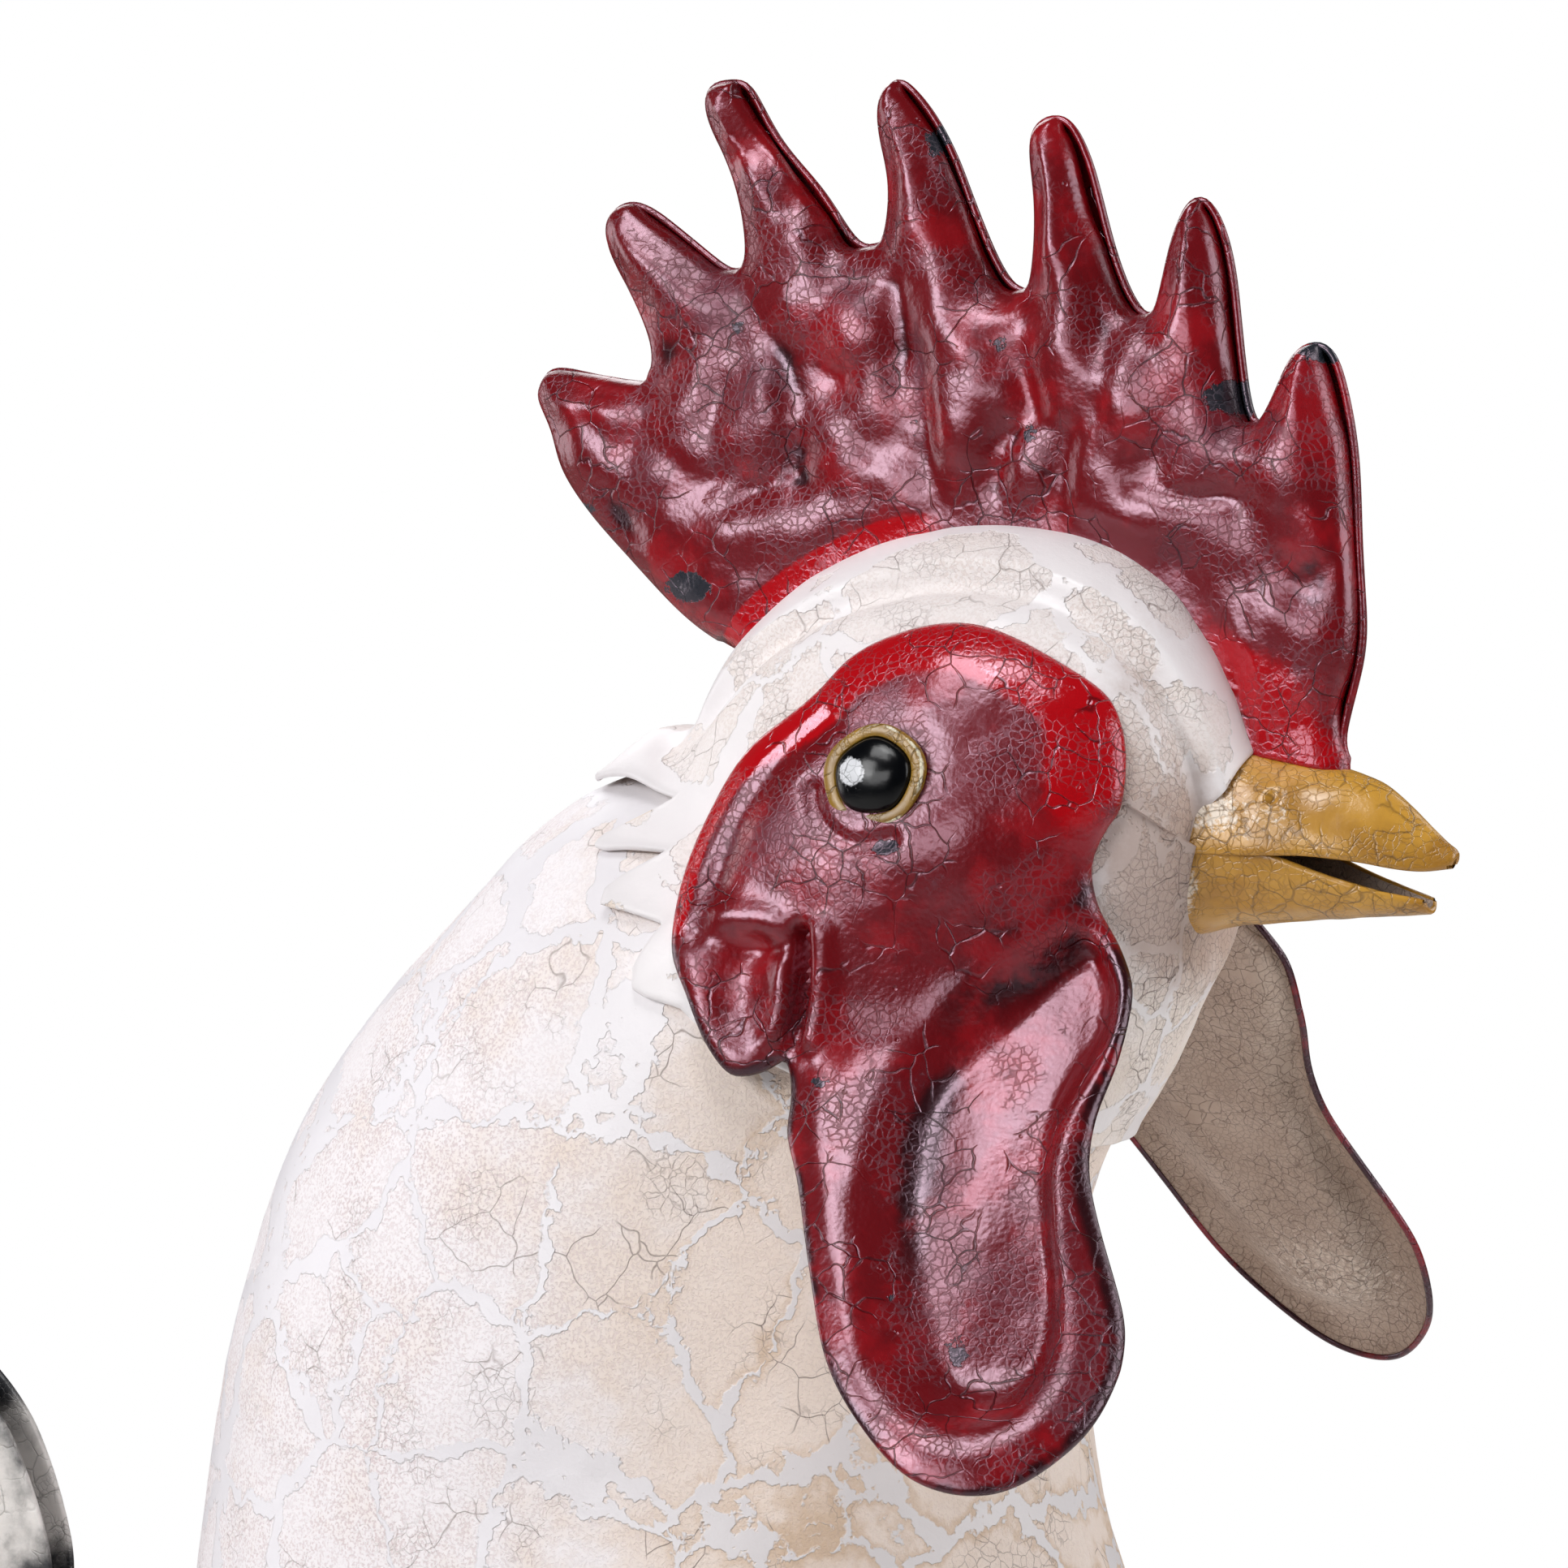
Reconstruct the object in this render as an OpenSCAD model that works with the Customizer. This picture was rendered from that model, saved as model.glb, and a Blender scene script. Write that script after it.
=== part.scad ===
// Rooster garden sculpture: pressed and welded sheet iron on two steel rod legs.
// Units are millimetres, Z is up, X points along the beak and Y to the bird's left.

/* [Which piece] */
// piece to draw, or all of them

/* [Overall] */
// height from the soles to the tallest comb point
overall_h = 760; // [380:1:1140]
// length of the body from the breast to the tail cap
body_l = 256; // [128:1:384]
// width of the body across the flanks
body_w = 176; // [88:1:264]
// thickness of the pressed sheet
sheet_t = 1.2; // [0.6:0.1:1.8]

/* [Comb] */
// height of the comb above the crown of the head
comb_rise = 79; // [40:1:118]
// length of the comb from its back lobe to its front edge
comb_l = 152; // [76:1:228]
// half thickness of the comb where it stands on the head
comb_half_t = 9; // [4.5:0.5:13.5]
// radius of the rounded end of each comb point
comb_tip_r = 2.6; // [1.3:0.1:3.9]

/* [Face] */
// height of the face plate from its top rim to the end of the wattle
face_h = 136; // [68:1:204]
// how far the wattle stands out for each wattle height below the jaw
wattle_flare = 40; // [20:1:60]
// height of the pressed rim and cheek of the face plate
face_relief = 3.2; // [1.6:0.1:4.8]
// diameter of the eye button
eye_d = 17; // [8.5:0.5:25.5]
// height of the eye button over the face plate
eye_rise = 4.6; // [2.3:0.1:6.9]

/* [Wings] */
// how far the back edge of the wing shield stands off the body
shield_lift = 4.3; // [2.2:0.1:6.5]
// rise across one flight feather, so that each one laps the next
feather_ramp = 2.1; // [1.1:0.1:3.2]

/* [Tail] */
// length of the main sickle feathers along their curve
sickle_l = 300; // [150:1:450]
// width of the main sickle feathers
sickle_w = 33; // [14:1:42]
// depth of the fold along the middle of a tail feather
fold_d = 2.6; // [1.3:0.1:3.9]

/* [Legs] */
// diameter of the leg rod
rod_d = 13; // [6.5:0.5:19.5]
// length of the middle front toe
toe_l = 78; // [39:1:117]
// height of the foot at the socket for the rod
foot_h = 15; // [7.5:0.5:22.5]
// length of the spur
spur_l = 20; // [10:1:30]

/* [Fits] */
// clearance between two pieces that are seated on each other
seat_gap = 0.3; // [0.1:0.1:0.6]
// clearance between two lapped or hugging sheets
lap_gap = 0.7; // [0.3:0.1:0.9]

/* [Hidden] */

// height of the crown of the head
crown_h = overall_h - comb_rise;
// layers of lapped sheet: the cape lies on the body and the head collar on the cape
cape_off = sheet_t + lap_gap;
head_off = cape_off * 2;

// cross sections of head, neck and body, from the beak root back to the tail cap
// each one: top x, top height, bottom x, bottom height, half width
// x in shares of the body length, heights in shares of the crown height, half width of the body width
section_shares = [
    [0.420, 0.949, 0.385, 0.904, 0.085],
    [0.395, 0.966, 0.375, 0.898, 0.120],
    [0.340, 0.987, 0.365, 0.892, 0.150],
    [0.255, 0.996, 0.350, 0.881, 0.180],
    [0.165, 0.991, 0.340, 0.871, 0.200],
    [0.083, 0.971, 0.325, 0.862, 0.220],
    [0.026, 0.9445, 0.310, 0.854, 0.240],
    [-0.053, 0.9325, 0.290, 0.844, 0.265],
    [-0.140, 0.903, 0.272, 0.824, 0.295],
    [-0.222, 0.870, 0.270, 0.803, 0.322],
    [-0.285, 0.827, 0.277, 0.780, 0.341],
    [-0.323, 0.778, 0.295, 0.747, 0.360],
    [-0.342, 0.730, 0.335, 0.709, 0.383],
    [-0.348, 0.687, 0.366, 0.664, 0.412],
    [-0.356, 0.662, 0.385, 0.605, 0.445],
    [-0.374, 0.652, 0.370, 0.543, 0.476],
    [-0.410, 0.648, 0.280, 0.486, 0.493],
    [-0.420, 0.648, 0.120, 0.452, 0.470],
    [-0.430, 0.648, -0.060, 0.443, 0.430],
    [-0.440, 0.649, -0.235, 0.460, 0.375],
    [-0.445, 0.652, -0.390, 0.496, 0.300],
    [-0.450, 0.656, -0.515, 0.549, 0.225],
    [-0.455, 0.661, -0.595, 0.598, 0.155]];
last_section = len(section_shares) - 1;
section_scale = [body_l, crown_h, body_l, crown_h, body_w];

// one section in millimetres, with the two ends carried on in a straight line
function section_at(i) =
    i < 0 ? 2 * section_at(0) - section_at(1)
    : i > last_section ? 2 * section_at(last_section) - section_at(last_section - 1)
    : [for (k = [0:4]) section_shares[i][k] * section_scale[k]];

// smooth curve through four values, between the middle two
function smooth4(a, b, c, d, t) =
    (2 * b + (c - a) * t + (2 * a - 5 * b + 4 * c - d) * t * t
    + (3 * b - a - 3 * c + d) * t * t * t) / 2;

function section(u) =
    let (i = min(max(floor(u), 0), last_section - 1))
    smooth4(section_at(i - 1), section_at(i), section_at(i + 1), section_at(i + 2), u - i);

// point of the master skin: u runs along the bird, phi from the top seam to the bottom seam
function skin_base(u, phi) =
    let (s = section(u), c = cos(phi))
    [(s[0] + s[2]) / 2 + (s[0] - s[2]) / 2 * c, s[4] * sin(phi), (s[1] + s[3]) / 2 + (s[1] - s[3]) / 2 * c];

du_step = 0.02;
phi_step = 1;

function skin(u, phi, off) =
    let (p = skin_base(u, phi),
        along = skin_base(u + du_step, phi) - skin_base(u - du_step, phi),
        round_dir = skin_base(u, phi + phi_step) - skin_base(u, phi - phi_step),
        n = cross(round_dir, along))
    p + n / norm(n) * off;

// half width of the head in the side view at x and z, found by halving the range of u
// off makes the section's ellipse that much larger all round, for a sheet that lies over the head
function side_miss(u, x, z) =
    let (s = section(u)) (x - s[2]) * (s[1] - s[3]) - (z - s[3]) * (s[0] - s[2]);
function side_u(x, z, low, high, n) =
    n == 0 ? low
    : let (m = (low + high) / 2)
        (side_miss(m, x, z) > 0) == (side_miss(-1 / 2, x, z) > 0)
        ? side_u(x, z, m, high, n - 1) : side_u(x, z, low, m, n - 1);
function head_side(x, z, off) =
    let (s = section(side_u(x, z, -1 / 2, 9, 18)),
        dx = s[0] - s[2], dz = s[1] - s[3], d = norm([dx, dz]),
        c = (2 * ((x - s[2]) * dx + (z - s[3]) * dz) / (d * d) - 1) * d / (d + 2 * off))
    (s[4] + off) * sqrt(max(0, 1 - c * c));

// two grids of points make one sheet: the outer face, the inner face and the edges between them
function tri(a, b, c, flip) = flip ? [a, c, b] : [a, b, c];
function quad(a, b, c, d, flip) = [tri(a, b, c, flip), tri(a, c, d, flip)];

function strip_faces(nr, nc, flip) =
    let (o = nr * nc)
    [for (list = concat(
        [for (i = [0:nr - 2], j = [0:nc - 2])
            quad(i * nc + j, i * nc + j + 1, (i + 1) * nc + j + 1, (i + 1) * nc + j, flip)],
        [for (i = [0:nr - 2], j = [0:nc - 2])
            quad(o + i * nc + j, o + (i + 1) * nc + j, o + (i + 1) * nc + j + 1, o + i * nc + j + 1, flip)],
        [for (j = [0:nc - 2]) quad(j + 1, j, o + j, o + j + 1, flip)],
        [for (j = [0:nc - 2]) let (r = (nr - 1) * nc) quad(r + j, r + j + 1, o + r + j + 1, o + r + j, flip)],
        [for (i = [0:nr - 2]) quad(i * nc, (i + 1) * nc, o + (i + 1) * nc, o + i * nc, flip)],
        [for (i = [0:nr - 2]) let (e = nc - 1)
            quad((i + 1) * nc + e, i * nc + e, o + i * nc + e, o + (i + 1) * nc + e, flip)]))
        for (f = list) f];

function tube_faces(nr, nc, flip) =
    let (o = nr * nc)
    [for (list = concat(
        [for (i = [0:nr - 2], j = [0:nc - 1]) let (k = (j + 1) % nc)
            quad(i * nc + j, i * nc + k, (i + 1) * nc + k, (i + 1) * nc + j, flip)],
        [for (i = [0:nr - 2], j = [0:nc - 1]) let (k = (j + 1) % nc)
            quad(o + i * nc + j, o + (i + 1) * nc + j, o + (i + 1) * nc + k, o + i * nc + k, flip)],
        [for (j = [0:nc - 1]) let (k = (j + 1) % nc) quad(k, j, o + j, o + k, flip)],
        [for (j = [0:nc - 1]) let (k = (j + 1) % nc, r = (nr - 1) * nc)
            quad(r + j, r + k, o + r + k, o + r + j, flip)]))
        for (f = list) f];

// rings round a middle point: point 0 is the middle of the outer face
function disc_faces(nr, nc, flip) =
    let (o = nr * nc + 1)
    [for (list = concat(
        [for (j = [0:nc - 1]) let (k = (j + 1) % nc)
            [tri(0, 1 + k, 1 + j, flip), tri(o, o + 1 + j, o + 1 + k, flip)]],
        [for (i = [0:nr - 2], j = [0:nc - 1]) let (k = (j + 1) % nc, a = 1 + i * nc, b = a + nc)
            quad(a + j, a + k, b + k, b + j, flip)],
        [for (i = [0:nr - 2], j = [0:nc - 1]) let (k = (j + 1) % nc, a = o + 1 + i * nc, b = a + nc)
            quad(a + j, b + j, b + k, a + k, flip)],
        [for (j = [0:nc - 1]) let (k = (j + 1) % nc, r = 1 + (nr - 1) * nc)
            quad(r + j, r + k, o + r + k, o + r + j, flip)]))
        for (f = list) f];

// the right side of the bird is at minus Y, so that side takes s = -1
function sided(p, s) = [p[0], p[1] * s, p[2]];
function flat(grid) = [for (row = grid) for (p = row) p];

module strip_sheet(outer, inner, flip) {
    polyhedron(
        points = concat(flat(outer), flat(inner)),
        faces = strip_faces(len(outer), len(outer[0]), flip),
        convexity = 10);
}

module tube_sheet(outer, inner, flip) {
    polyhedron(
        points = concat(flat(outer), flat(inner)),
        faces = tube_faces(len(outer), len(outer[0]), flip),
        convexity = 10);
}

module disc_sheet(outer_mid, outer, inner_mid, inner, flip) {
    polyhedron(
        points = concat([outer_mid], flat(outer), [inner_mid], flat(inner)),
        faces = disc_faces(len(outer), len(outer[0]), flip),
        convexity = 10);
}

function blend(a, b, t) = a + (b - a) * t;
seam_half = seat_gap / 2;
function off_seam(p, s) = [p[0], (p[1] + seam_half) * s, p[2]];

// half shells of head, neck and body: rows at the listed places, the last one cut into feather tips
function tip_lift(i, j, n, tip_u) = i == n && j % 2 == 1 && tip_u > 0 ? sheet_t : 0;
function front_off(u) = head_off * bump(u, 0, 2);
module half_shell(us, tip_u, off, cols, s) {
    outer = [for (i = [0:len(us) - 1]) [for (j = [0:cols])
        off_seam(skin(us[i] + (i == len(us) - 1 ? tip_u * (j % 2) : 0), 180 * j / cols,
            (us[0] > 0 ? off : front_off(us[i])) + tip_lift(i, j, len(us) - 1, tip_u)), s)]];
    inner = [for (i = [0:len(us) - 1]) [for (j = [0:cols])
        off_seam(skin(us[i] + (i == len(us) - 1 ? tip_u * (j % 2) : 0), 180 * j / cols,
            (us[0] > 0 ? off : front_off(us[i])) + tip_lift(i, j, len(us) - 1, tip_u) - sheet_t), s)]];
    strip_sheet(outer, inner, s < 0);
}

// the head collar ends at the nape and the throat, the cape ends over the shoulders
head_rows = [0, 0.5, 1, 1.7, 2.5, 3.3, 4.1, 4.9, 5.7, 6.3, 6.7];
cape_rows = [6.0, 6.5, 7.1, 8.2, 9.7, 11.2, 12.4, 13.2, 13.6, 13.95, 14.3];
body_rows = [13.4, 14.2, 15, 15.7, 16.4, 17.2, 18, 19, 20, 21, 22];

module head_shell(s) {
    half_shell(head_rows, 0.35, head_off, 24, s);
}
module neck_cape(s) {
    half_shell(cape_rows, 0.45, cape_off, 24, s);
}

// where the leg rod meets the belly
leg_u = 18.05;
leg_phi = 150;
leg_at = skin_base(leg_u, leg_phi);
rod_top = leg_at[2] + rod_d * 1.4;

module body_shell(s) {
    difference() {
        half_shell(body_rows, 0, 0, 16, s);
        translate([leg_at[0], leg_at[1] * s, leg_at[2] - rod_d * 2])
            cylinder(d = rod_d + 2 * seat_gap, h = rod_d * 5, $fn = 48);
    }
}

// beak: ridge x, ridge height, edge x, edge height, half width, from the root to the tip
// x in shares of the body length, heights in shares of the crown height, half width of the body width
beak_shares = [
    [0.420, 0.950, 0.402, 0.9265, 0.084],
    [0.450, 0.948, 0.440, 0.9262, 0.078],
    [0.484, 0.945, 0.476, 0.9250, 0.065],
    [0.512, 0.941, 0.510, 0.9235, 0.048],
    [0.538, 0.933, 0.537, 0.9215, 0.028],
    [0.560, 0.9255, 0.557, 0.9220, 0.011]];
jaw_shares = [
    [0.386, 0.9035, 0.402, 0.9245, 0.082],
    [0.422, 0.9060, 0.438, 0.9230, 0.071],
    [0.478, 0.9080, 0.476, 0.9200, 0.056],
    [0.515, 0.9090, 0.514, 0.9155, 0.040],
    [0.543, 0.9098, 0.542, 0.9130, 0.018]];
function beak_section(shares, t) =
    let (n = len(shares) - 1, i = min(max(floor(t), 0), n - 1),
        before = i == 0 ? 2 * shares[0] - shares[1] : shares[i - 1],
        after = i == n - 1 ? 2 * shares[n] - shares[n - 1] : shares[i + 2],
        v = smooth4(before, shares[i], shares[i + 1], after, t - i))
    [for (k = [0:4]) v[k] * section_scale[k]];
function beak_point(shares, t, phi, thin) =
    let (s = beak_section(shares, t), dx = s[0] - s[2], dz = s[1] - s[3],
        d = norm([dx, dz]), k = max(d - thin, d / 5) / d, w = max(s[4] - thin, s[4] / 5))
    [s[2] + dx * k * cos(phi) + seat_gap, w * sin(phi), s[3] + dz * k * cos(phi)];

module beak_half(shares, flip) {
    n = len(shares) - 1;
    rows = 2 * n;
    cols = 12;
    outer = [for (i = [0:rows]) [for (j = [0:cols]) beak_point(shares, i / 2, -90 + 180 * j / cols, 0)]];
    inner = [for (i = [0:rows]) [for (j = [0:cols]) beak_point(shares, i / 2, -90 + 180 * j / cols, sheet_t)]];
    strip_sheet(outer, inner, flip);
}

// comb outline, from the nape over the points to the front edge
// x in shares of the comb length from its back lobe, height in shares of the comb rise over the crown
comb_back_x = -0.102 * body_l;
comb_rear_shares = [[0.252, -0.265], [0.183, -0.176], [0.110, -0.052], [0.063, 0.037], [0.026, 0.144],
    [0.004, 0.250], [0.004, 0.320], [0.040, 0.365]];
comb_point_shares = [[0.095, 0.724], [0.228, 1.000], [0.446, 0.990], [0.634, 0.896], [0.803, 0.723]];
comb_notch_shares = [[0.130, 0.344], [0.245, 0.587], [0.416, 0.637], [0.604, 0.543], [0.755, 0.478],
    [0.883, 0.248]];
comb_front_shares = [[0.951, 0.405], [0.984, 0.350], [0.995, 0.184], [0.993, 0.013], [0.997, -0.156],
    [0.991, -0.258], [0.982, -0.380]];
function comb_mm(p) = [comb_back_x + p[0] * comb_l, crown_h + p[1] * comb_rise];
function along_axis(b, a, c) = let (v = b - (a + c) / 2) v / norm(v);
// one point of the comb: up its back side, round its end and down its front side
function comb_spike(a, b, c) =
    let (ax = along_axis(b, a, c), side = [-ax[1], ax[0]], mid = b - ax * comb_tip_r,
        left = mid + side * comb_tip_r, right = mid - side * comb_tip_r)
    [a, blend(a, left, 0.5) + side * comb_tip_r * 0.3, left, b, right, blend(right, c, 0.5) - side * comb_tip_r * 0.3];
comb_line = concat(
    [for (p = comb_rear_shares) comb_mm(p)],
    [for (i = [0:4]) for (p = comb_spike(comb_mm(comb_notch_shares[i]), comb_mm(comb_point_shares[i]),
        comb_mm(comb_notch_shares[i + 1]))) p],
    [comb_mm(comb_notch_shares[5])],
    [for (p = comb_front_shares) comb_mm(p)]);

comb_u0 = 5.2;
comb_head_share = 0.84;
// the foot of the comb stands on the head and, at its front end, on the beak
function comb_foot(v, thin) =
    v <= comb_head_share
    ? let (u = comb_u0 * (1 - v / comb_head_share), w = section(u)[4] + front_off(u),
        y = (comb_half_t * (1 - 0.5 * pow(v, 3)) - thin))
        skin(u, asin(min(y / w, 0.9)), front_off(u) + lap_gap)
    : let (t = (v - comb_head_share) / (1 - comb_head_share) * 2.1,
        s = beak_section(beak_shares, t), y = comb_half_t * (1 - 0.5 * pow(v, 3)) - thin)
        beak_point(beak_shares, t, asin(min(y / s[4], 0.9)), 0) + [0, 0, lap_gap];

comb_rows = [0, 0.5, 0.8, 0.95, 1];
function comb_point(k, w, thin) =
    let (n = len(comb_line) - 1, v = pow(k / n, 0.93), f = comb_foot(v, thin), o = comb_line[k],
        d = norm([o[0] - f[0], o[1] - f[2]]), ww = w * (1 - min(thin / d, 0.4)))
    [blend(f[0], o[0], ww), f[1] * sqrt(max(0, 1 - pow(w, 2.2))), blend(f[2], o[1], ww)];

module comb_half(s) {
    outer = [for (w = comb_rows) [for (k = [0:len(comb_line) - 1]) off_seam(comb_point(k, w, 0), s)]];
    inner = [for (w = comb_rows) [for (k = [0:len(comb_line) - 1]) off_seam(comb_point(k, w, sheet_t), s)]];
    strip_sheet(outer, inner, s < 0);
}

// face plate: radius every ten degrees round its middle, in shares of its height
face_shares = [0.175, 0.160, 0.160, 0.175, 0.230, 0.285, 0.320, 0.340, 0.352, 0.367, 0.375, 0.374,
    0.363, 0.355, 0.358, 0.362, 0.362, 0.358, 0.350, 0.336, 0.323, 0.310, 0.265, 0.265, 0.300, 0.345,
    0.425, 0.535, 0.625, 0.648, 0.565, 0.330, 0.272, 0.250, 0.228, 0.202];
face_x = 0.277 * body_l;
face_z = 0.906 * crown_h;
function face_radius(a) =
    let (n = len(face_shares), q = (a + 360) % 360 / 360 * n, i = floor(q))
    blend(face_shares[i % n], face_shares[(i + 1) % n], q - i) * face_h;
// the plate hugs the head above the jaw and stands out from it below
// the two wattles were bent by hand: the left one stands out more, and more so at its front edge
jaw_z = 0.881 * crown_h;
far_flare = 0.16;
far_turn = 0.13;
near_turn = 0.3;
wattle_step = 0.0735 * crown_h;
function log_sum(a, b, k) = max(a, b) + k * ln(1 + exp(-abs(a - b) / k));
function face_side(x, z, s) =
    let (t = (jaw_z - z) / wattle_step, low = min(max(t, 0), 1),
        out = t < 0 ? 0.75 * wattle_flare * t : wattle_flare * (t + (s > 0 ? far_flare * low : 0)),
        turn = 0.1 + (s > 0 ? far_turn : near_turn) * low)
    log_sum(head_side(x, z, head_off + 1.5 * lap_gap + sheet_t),
        0.25 * body_w + out - turn * (x - 0.22 * body_l), 0.017 * body_w);
// pressed shape over the plate: a cheek, a dished wattle and a raised rim
function bump(r, a, b) = let (t = min(max((r - a) / (b - a), 0), 1)) t * t * (3 - 2 * t);
function face_lift(r) = face_relief * (bump(r, 0.62, 0.86) * (1 - 0.9 * bump(r, 0.9, 1)) + 0.25 * (1 - bump(r, 0.3, 0.6)));
face_rows = [0.28, 0.52, 0.68, 0.8, 0.92, 1];
function face_point(r, a, thin, s) =
    let (x = face_x + r * face_radius(a) * cos(a), z = face_z + r * face_radius(a) * sin(a))
    [x, face_side(x, z, s) + face_lift(r) - thin, z];

module face_plate(s) {
    n = len(face_shares);
    outer = [for (r = face_rows) [for (j = [0:n - 1]) sided(face_point(r, 360 * j / n, 0, s), s)]];
    inner = [for (r = face_rows) [for (j = [0:n - 1]) sided(face_point(r, 360 * j / n, sheet_t, s), s)]];
    disc_sheet(sided(face_point(0, 0, 0, s), s), outer, sided(face_point(0, 0, sheet_t, s), s), inner, s < 0);
}

// eye button: its back follows the face plate and its front is a dome
eye_x = 0.228 * body_l;
eye_z = 0.944 * crown_h;
function face_top(x, z) =
    let (a = atan2(z - face_z, x - face_x), r = norm([x - face_x, z - face_z]) / face_radius(a))
    face_side(x, z, -1) + face_lift(min(r, 1));
eye_rows = [0.4, 0.7, 0.9, 1];
function eye_point(r, a, h) =
    let (x = eye_x + r * eye_d / 2 * cos(a), z = eye_z + r * eye_d / 2 * sin(a))
    [x, face_top(x, z) + lap_gap + h, z];
module eye_button(s) {
    n = 16;
    edge = eye_rise / 4;
    outer = [for (r = eye_rows) [for (j = [0:n - 1])
        sided(eye_point(r, 360 * j / n, edge + (eye_rise - edge) * sqrt(max(0, 1 - r * r))), s)]];
    inner = [for (r = eye_rows) [for (j = [0:n - 1]) sided(eye_point(r, 360 * j / n, 0), s)]];
    disc_sheet(sided(eye_point(0, 0, eye_rise), s), outer, sided(eye_point(0, 0, 0), s), inner, s < 0);
}

// wing shield: an oval on the flank, close to the body in front and lifted behind
shield_u = 16.95;
shield_phi = 80;
function shield_off(u) = sheet_t + lap_gap + shield_lift * bump(u, 15.6, 17.5);
function shield_point(r, a, thin) =
    let (u = shield_u + r * 1.65 * cos(a), phi = shield_phi + r * 42 * sin(a))
    skin(u, phi, shield_off(u) - thin);
module wing_shield(s) {
    n = 24;
    outer = [for (r = [1 / 3, 2 / 3, 1]) [for (j = [0:n - 1]) sided(shield_point(r, 360 * j / n, 0), s)]];
    inner = [for (r = [1 / 3, 2 / 3, 1]) [for (j = [0:n - 1]) sided(shield_point(r, 360 * j / n, sheet_t), s)]];
    disc_sheet(sided(shield_point(0, 0, 0), s), outer, sided(shield_point(0, 0, sheet_t), s), inner, s > 0);
}

// flight feathers: five lapped strips from under the shield to the back of the body
flight_phi0 = 50;
flight_pitch = 12.5;
flight_u0 = 17.6;
flight_end_u = [21.0, 21.4, 21.6, 21.3, 20.9];
function flight_point(k, t, c, thin) =
    let (u = blend(flight_u0, flight_end_u[k], t), w = 1.14 * (1 - 0.8 * pow(t, 6)),
        phi = flight_phi0 + flight_pitch * (k + 0.57 + (c - 0.5) * w) + 3 * (u - flight_u0))
    skin(u, phi, lap_gap + sheet_t + feather_ramp * c + 0.25 * feather_ramp * (1 - abs(2 * c - 1)) - thin);
module flight_feather(k, s) {
    rows = 8;
    outer = [for (i = [0:rows]) [for (c = [0, 0.5, 1]) sided(flight_point(k, i / rows, c, 0), s)]];
    inner = [for (i = [0:rows]) [for (c = [0, 0.5, 1]) sided(flight_point(k, i / rows, c, sheet_t), s)]];
    strip_sheet(outer, inner, s < 0);
}

// tail cap: a dome over the open back end of the body, with the feathers welded round it
end_section = section(last_section);
end_mid = [(end_section[0] + end_section[2]) / 2, (end_section[1] + end_section[3]) / 2];
end_dir = [end_section[2] - end_section[0], end_section[1] - end_section[3]];
cap_r = norm(end_dir) / 2;
cap_axis = [-end_dir[1], -end_dir[0]] / norm(end_dir);
cap_angle = 90 + atan2(end_section[1] - end_section[3], end_section[0] - end_section[2]);
module tail_cap_body() {
    translate([end_mid[0], 0, end_mid[1]])
        rotate([0, 90 - cap_angle, 0])
            translate([0, 0, lap_gap])
                difference() {
                    sphere(r = cap_r, $fn = 48);
                    sphere(r = cap_r - sheet_t, $fn = 48);
                    translate([-2 * cap_r, -2 * cap_r, -4 * cap_r])
                        cube(4 * cap_r);
                }
}

// tail feathers: distance from the middle, first and last heading, length, width, lean outwards
// lengths in shares of the main sickle length, widths of its width, distance of the cap radius
tail_shares = [
    [0.00, 116, 205, 0.80, 1.05, 0],
    [0.10, 104, 150, 0.36, 1.30, 2],
    [0.20, 110, 262, 1.00, 1.00, 4],
    [0.37, 119, 262, 0.87, 0.95, 8],
    [0.54, 129, 262, 0.70, 0.88, 12],
    [0.71, 149, 262, 0.52, 0.80, 16]];
turn_power = 1.5;
path_steps = 14;
function heading(f, t) = f[1] + (f[2] - f[1]) * pow(t, turn_power);
function tail_path(f, t) =
    let (y = max(f[0] * cap_r - sheet_t / 2, 0), r = sqrt(pow(cap_r + lap_gap * 0.7, 2) - y * y),
        start = end_mid + [cos(f[1]), sin(f[1])] * r + [cos(cap_angle), sin(cap_angle)] * lap_gap,
        l = f[3] * sickle_l)
    start + [
        for (q = [0, 90]) l * t / path_steps
            * sum([for (m = [0:path_steps - 1]) cos(heading(f, t * (m + 0.5) / path_steps) - q)])];
function sum(v, i = 0) = i == len(v) ? 0 : v[i] + sum(v, i + 1);
function tail_point(f, t, c, side) =
    let (p = tail_path(f, t), h = heading(f, t), w = f[4] * sickle_w * pow(sin(180 * (0.12 + 0.8 * t)), 0.7),
        fold = fold_d * sin(180 * min(t * 1.2, 0.5)) * (1 - abs(c)) * (f[0] > 0 ? 1 : 0),
        y = f[0] * cap_r + f[3] * sickle_l * t * tan(f[5]) + fold + side * sheet_t / 2)
    [p[0] - sin(h) * c * w / 2, y, p[1] + cos(h) * c * w / 2];
module tail_feather(i, s) {
    rows = 9;
    f = tail_shares[i];
    outer = [for (k = [0:rows]) [for (c = [-1, 0, 1]) sided(tail_point(f, k / rows, c, 1), s)]];
    inner = [for (k = [0:rows]) [for (c = [-1, 0, 1]) sided(tail_point(f, k / rows, c, -1), s)]];
    strip_sheet(outer, inner, s > 0);
}

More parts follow.
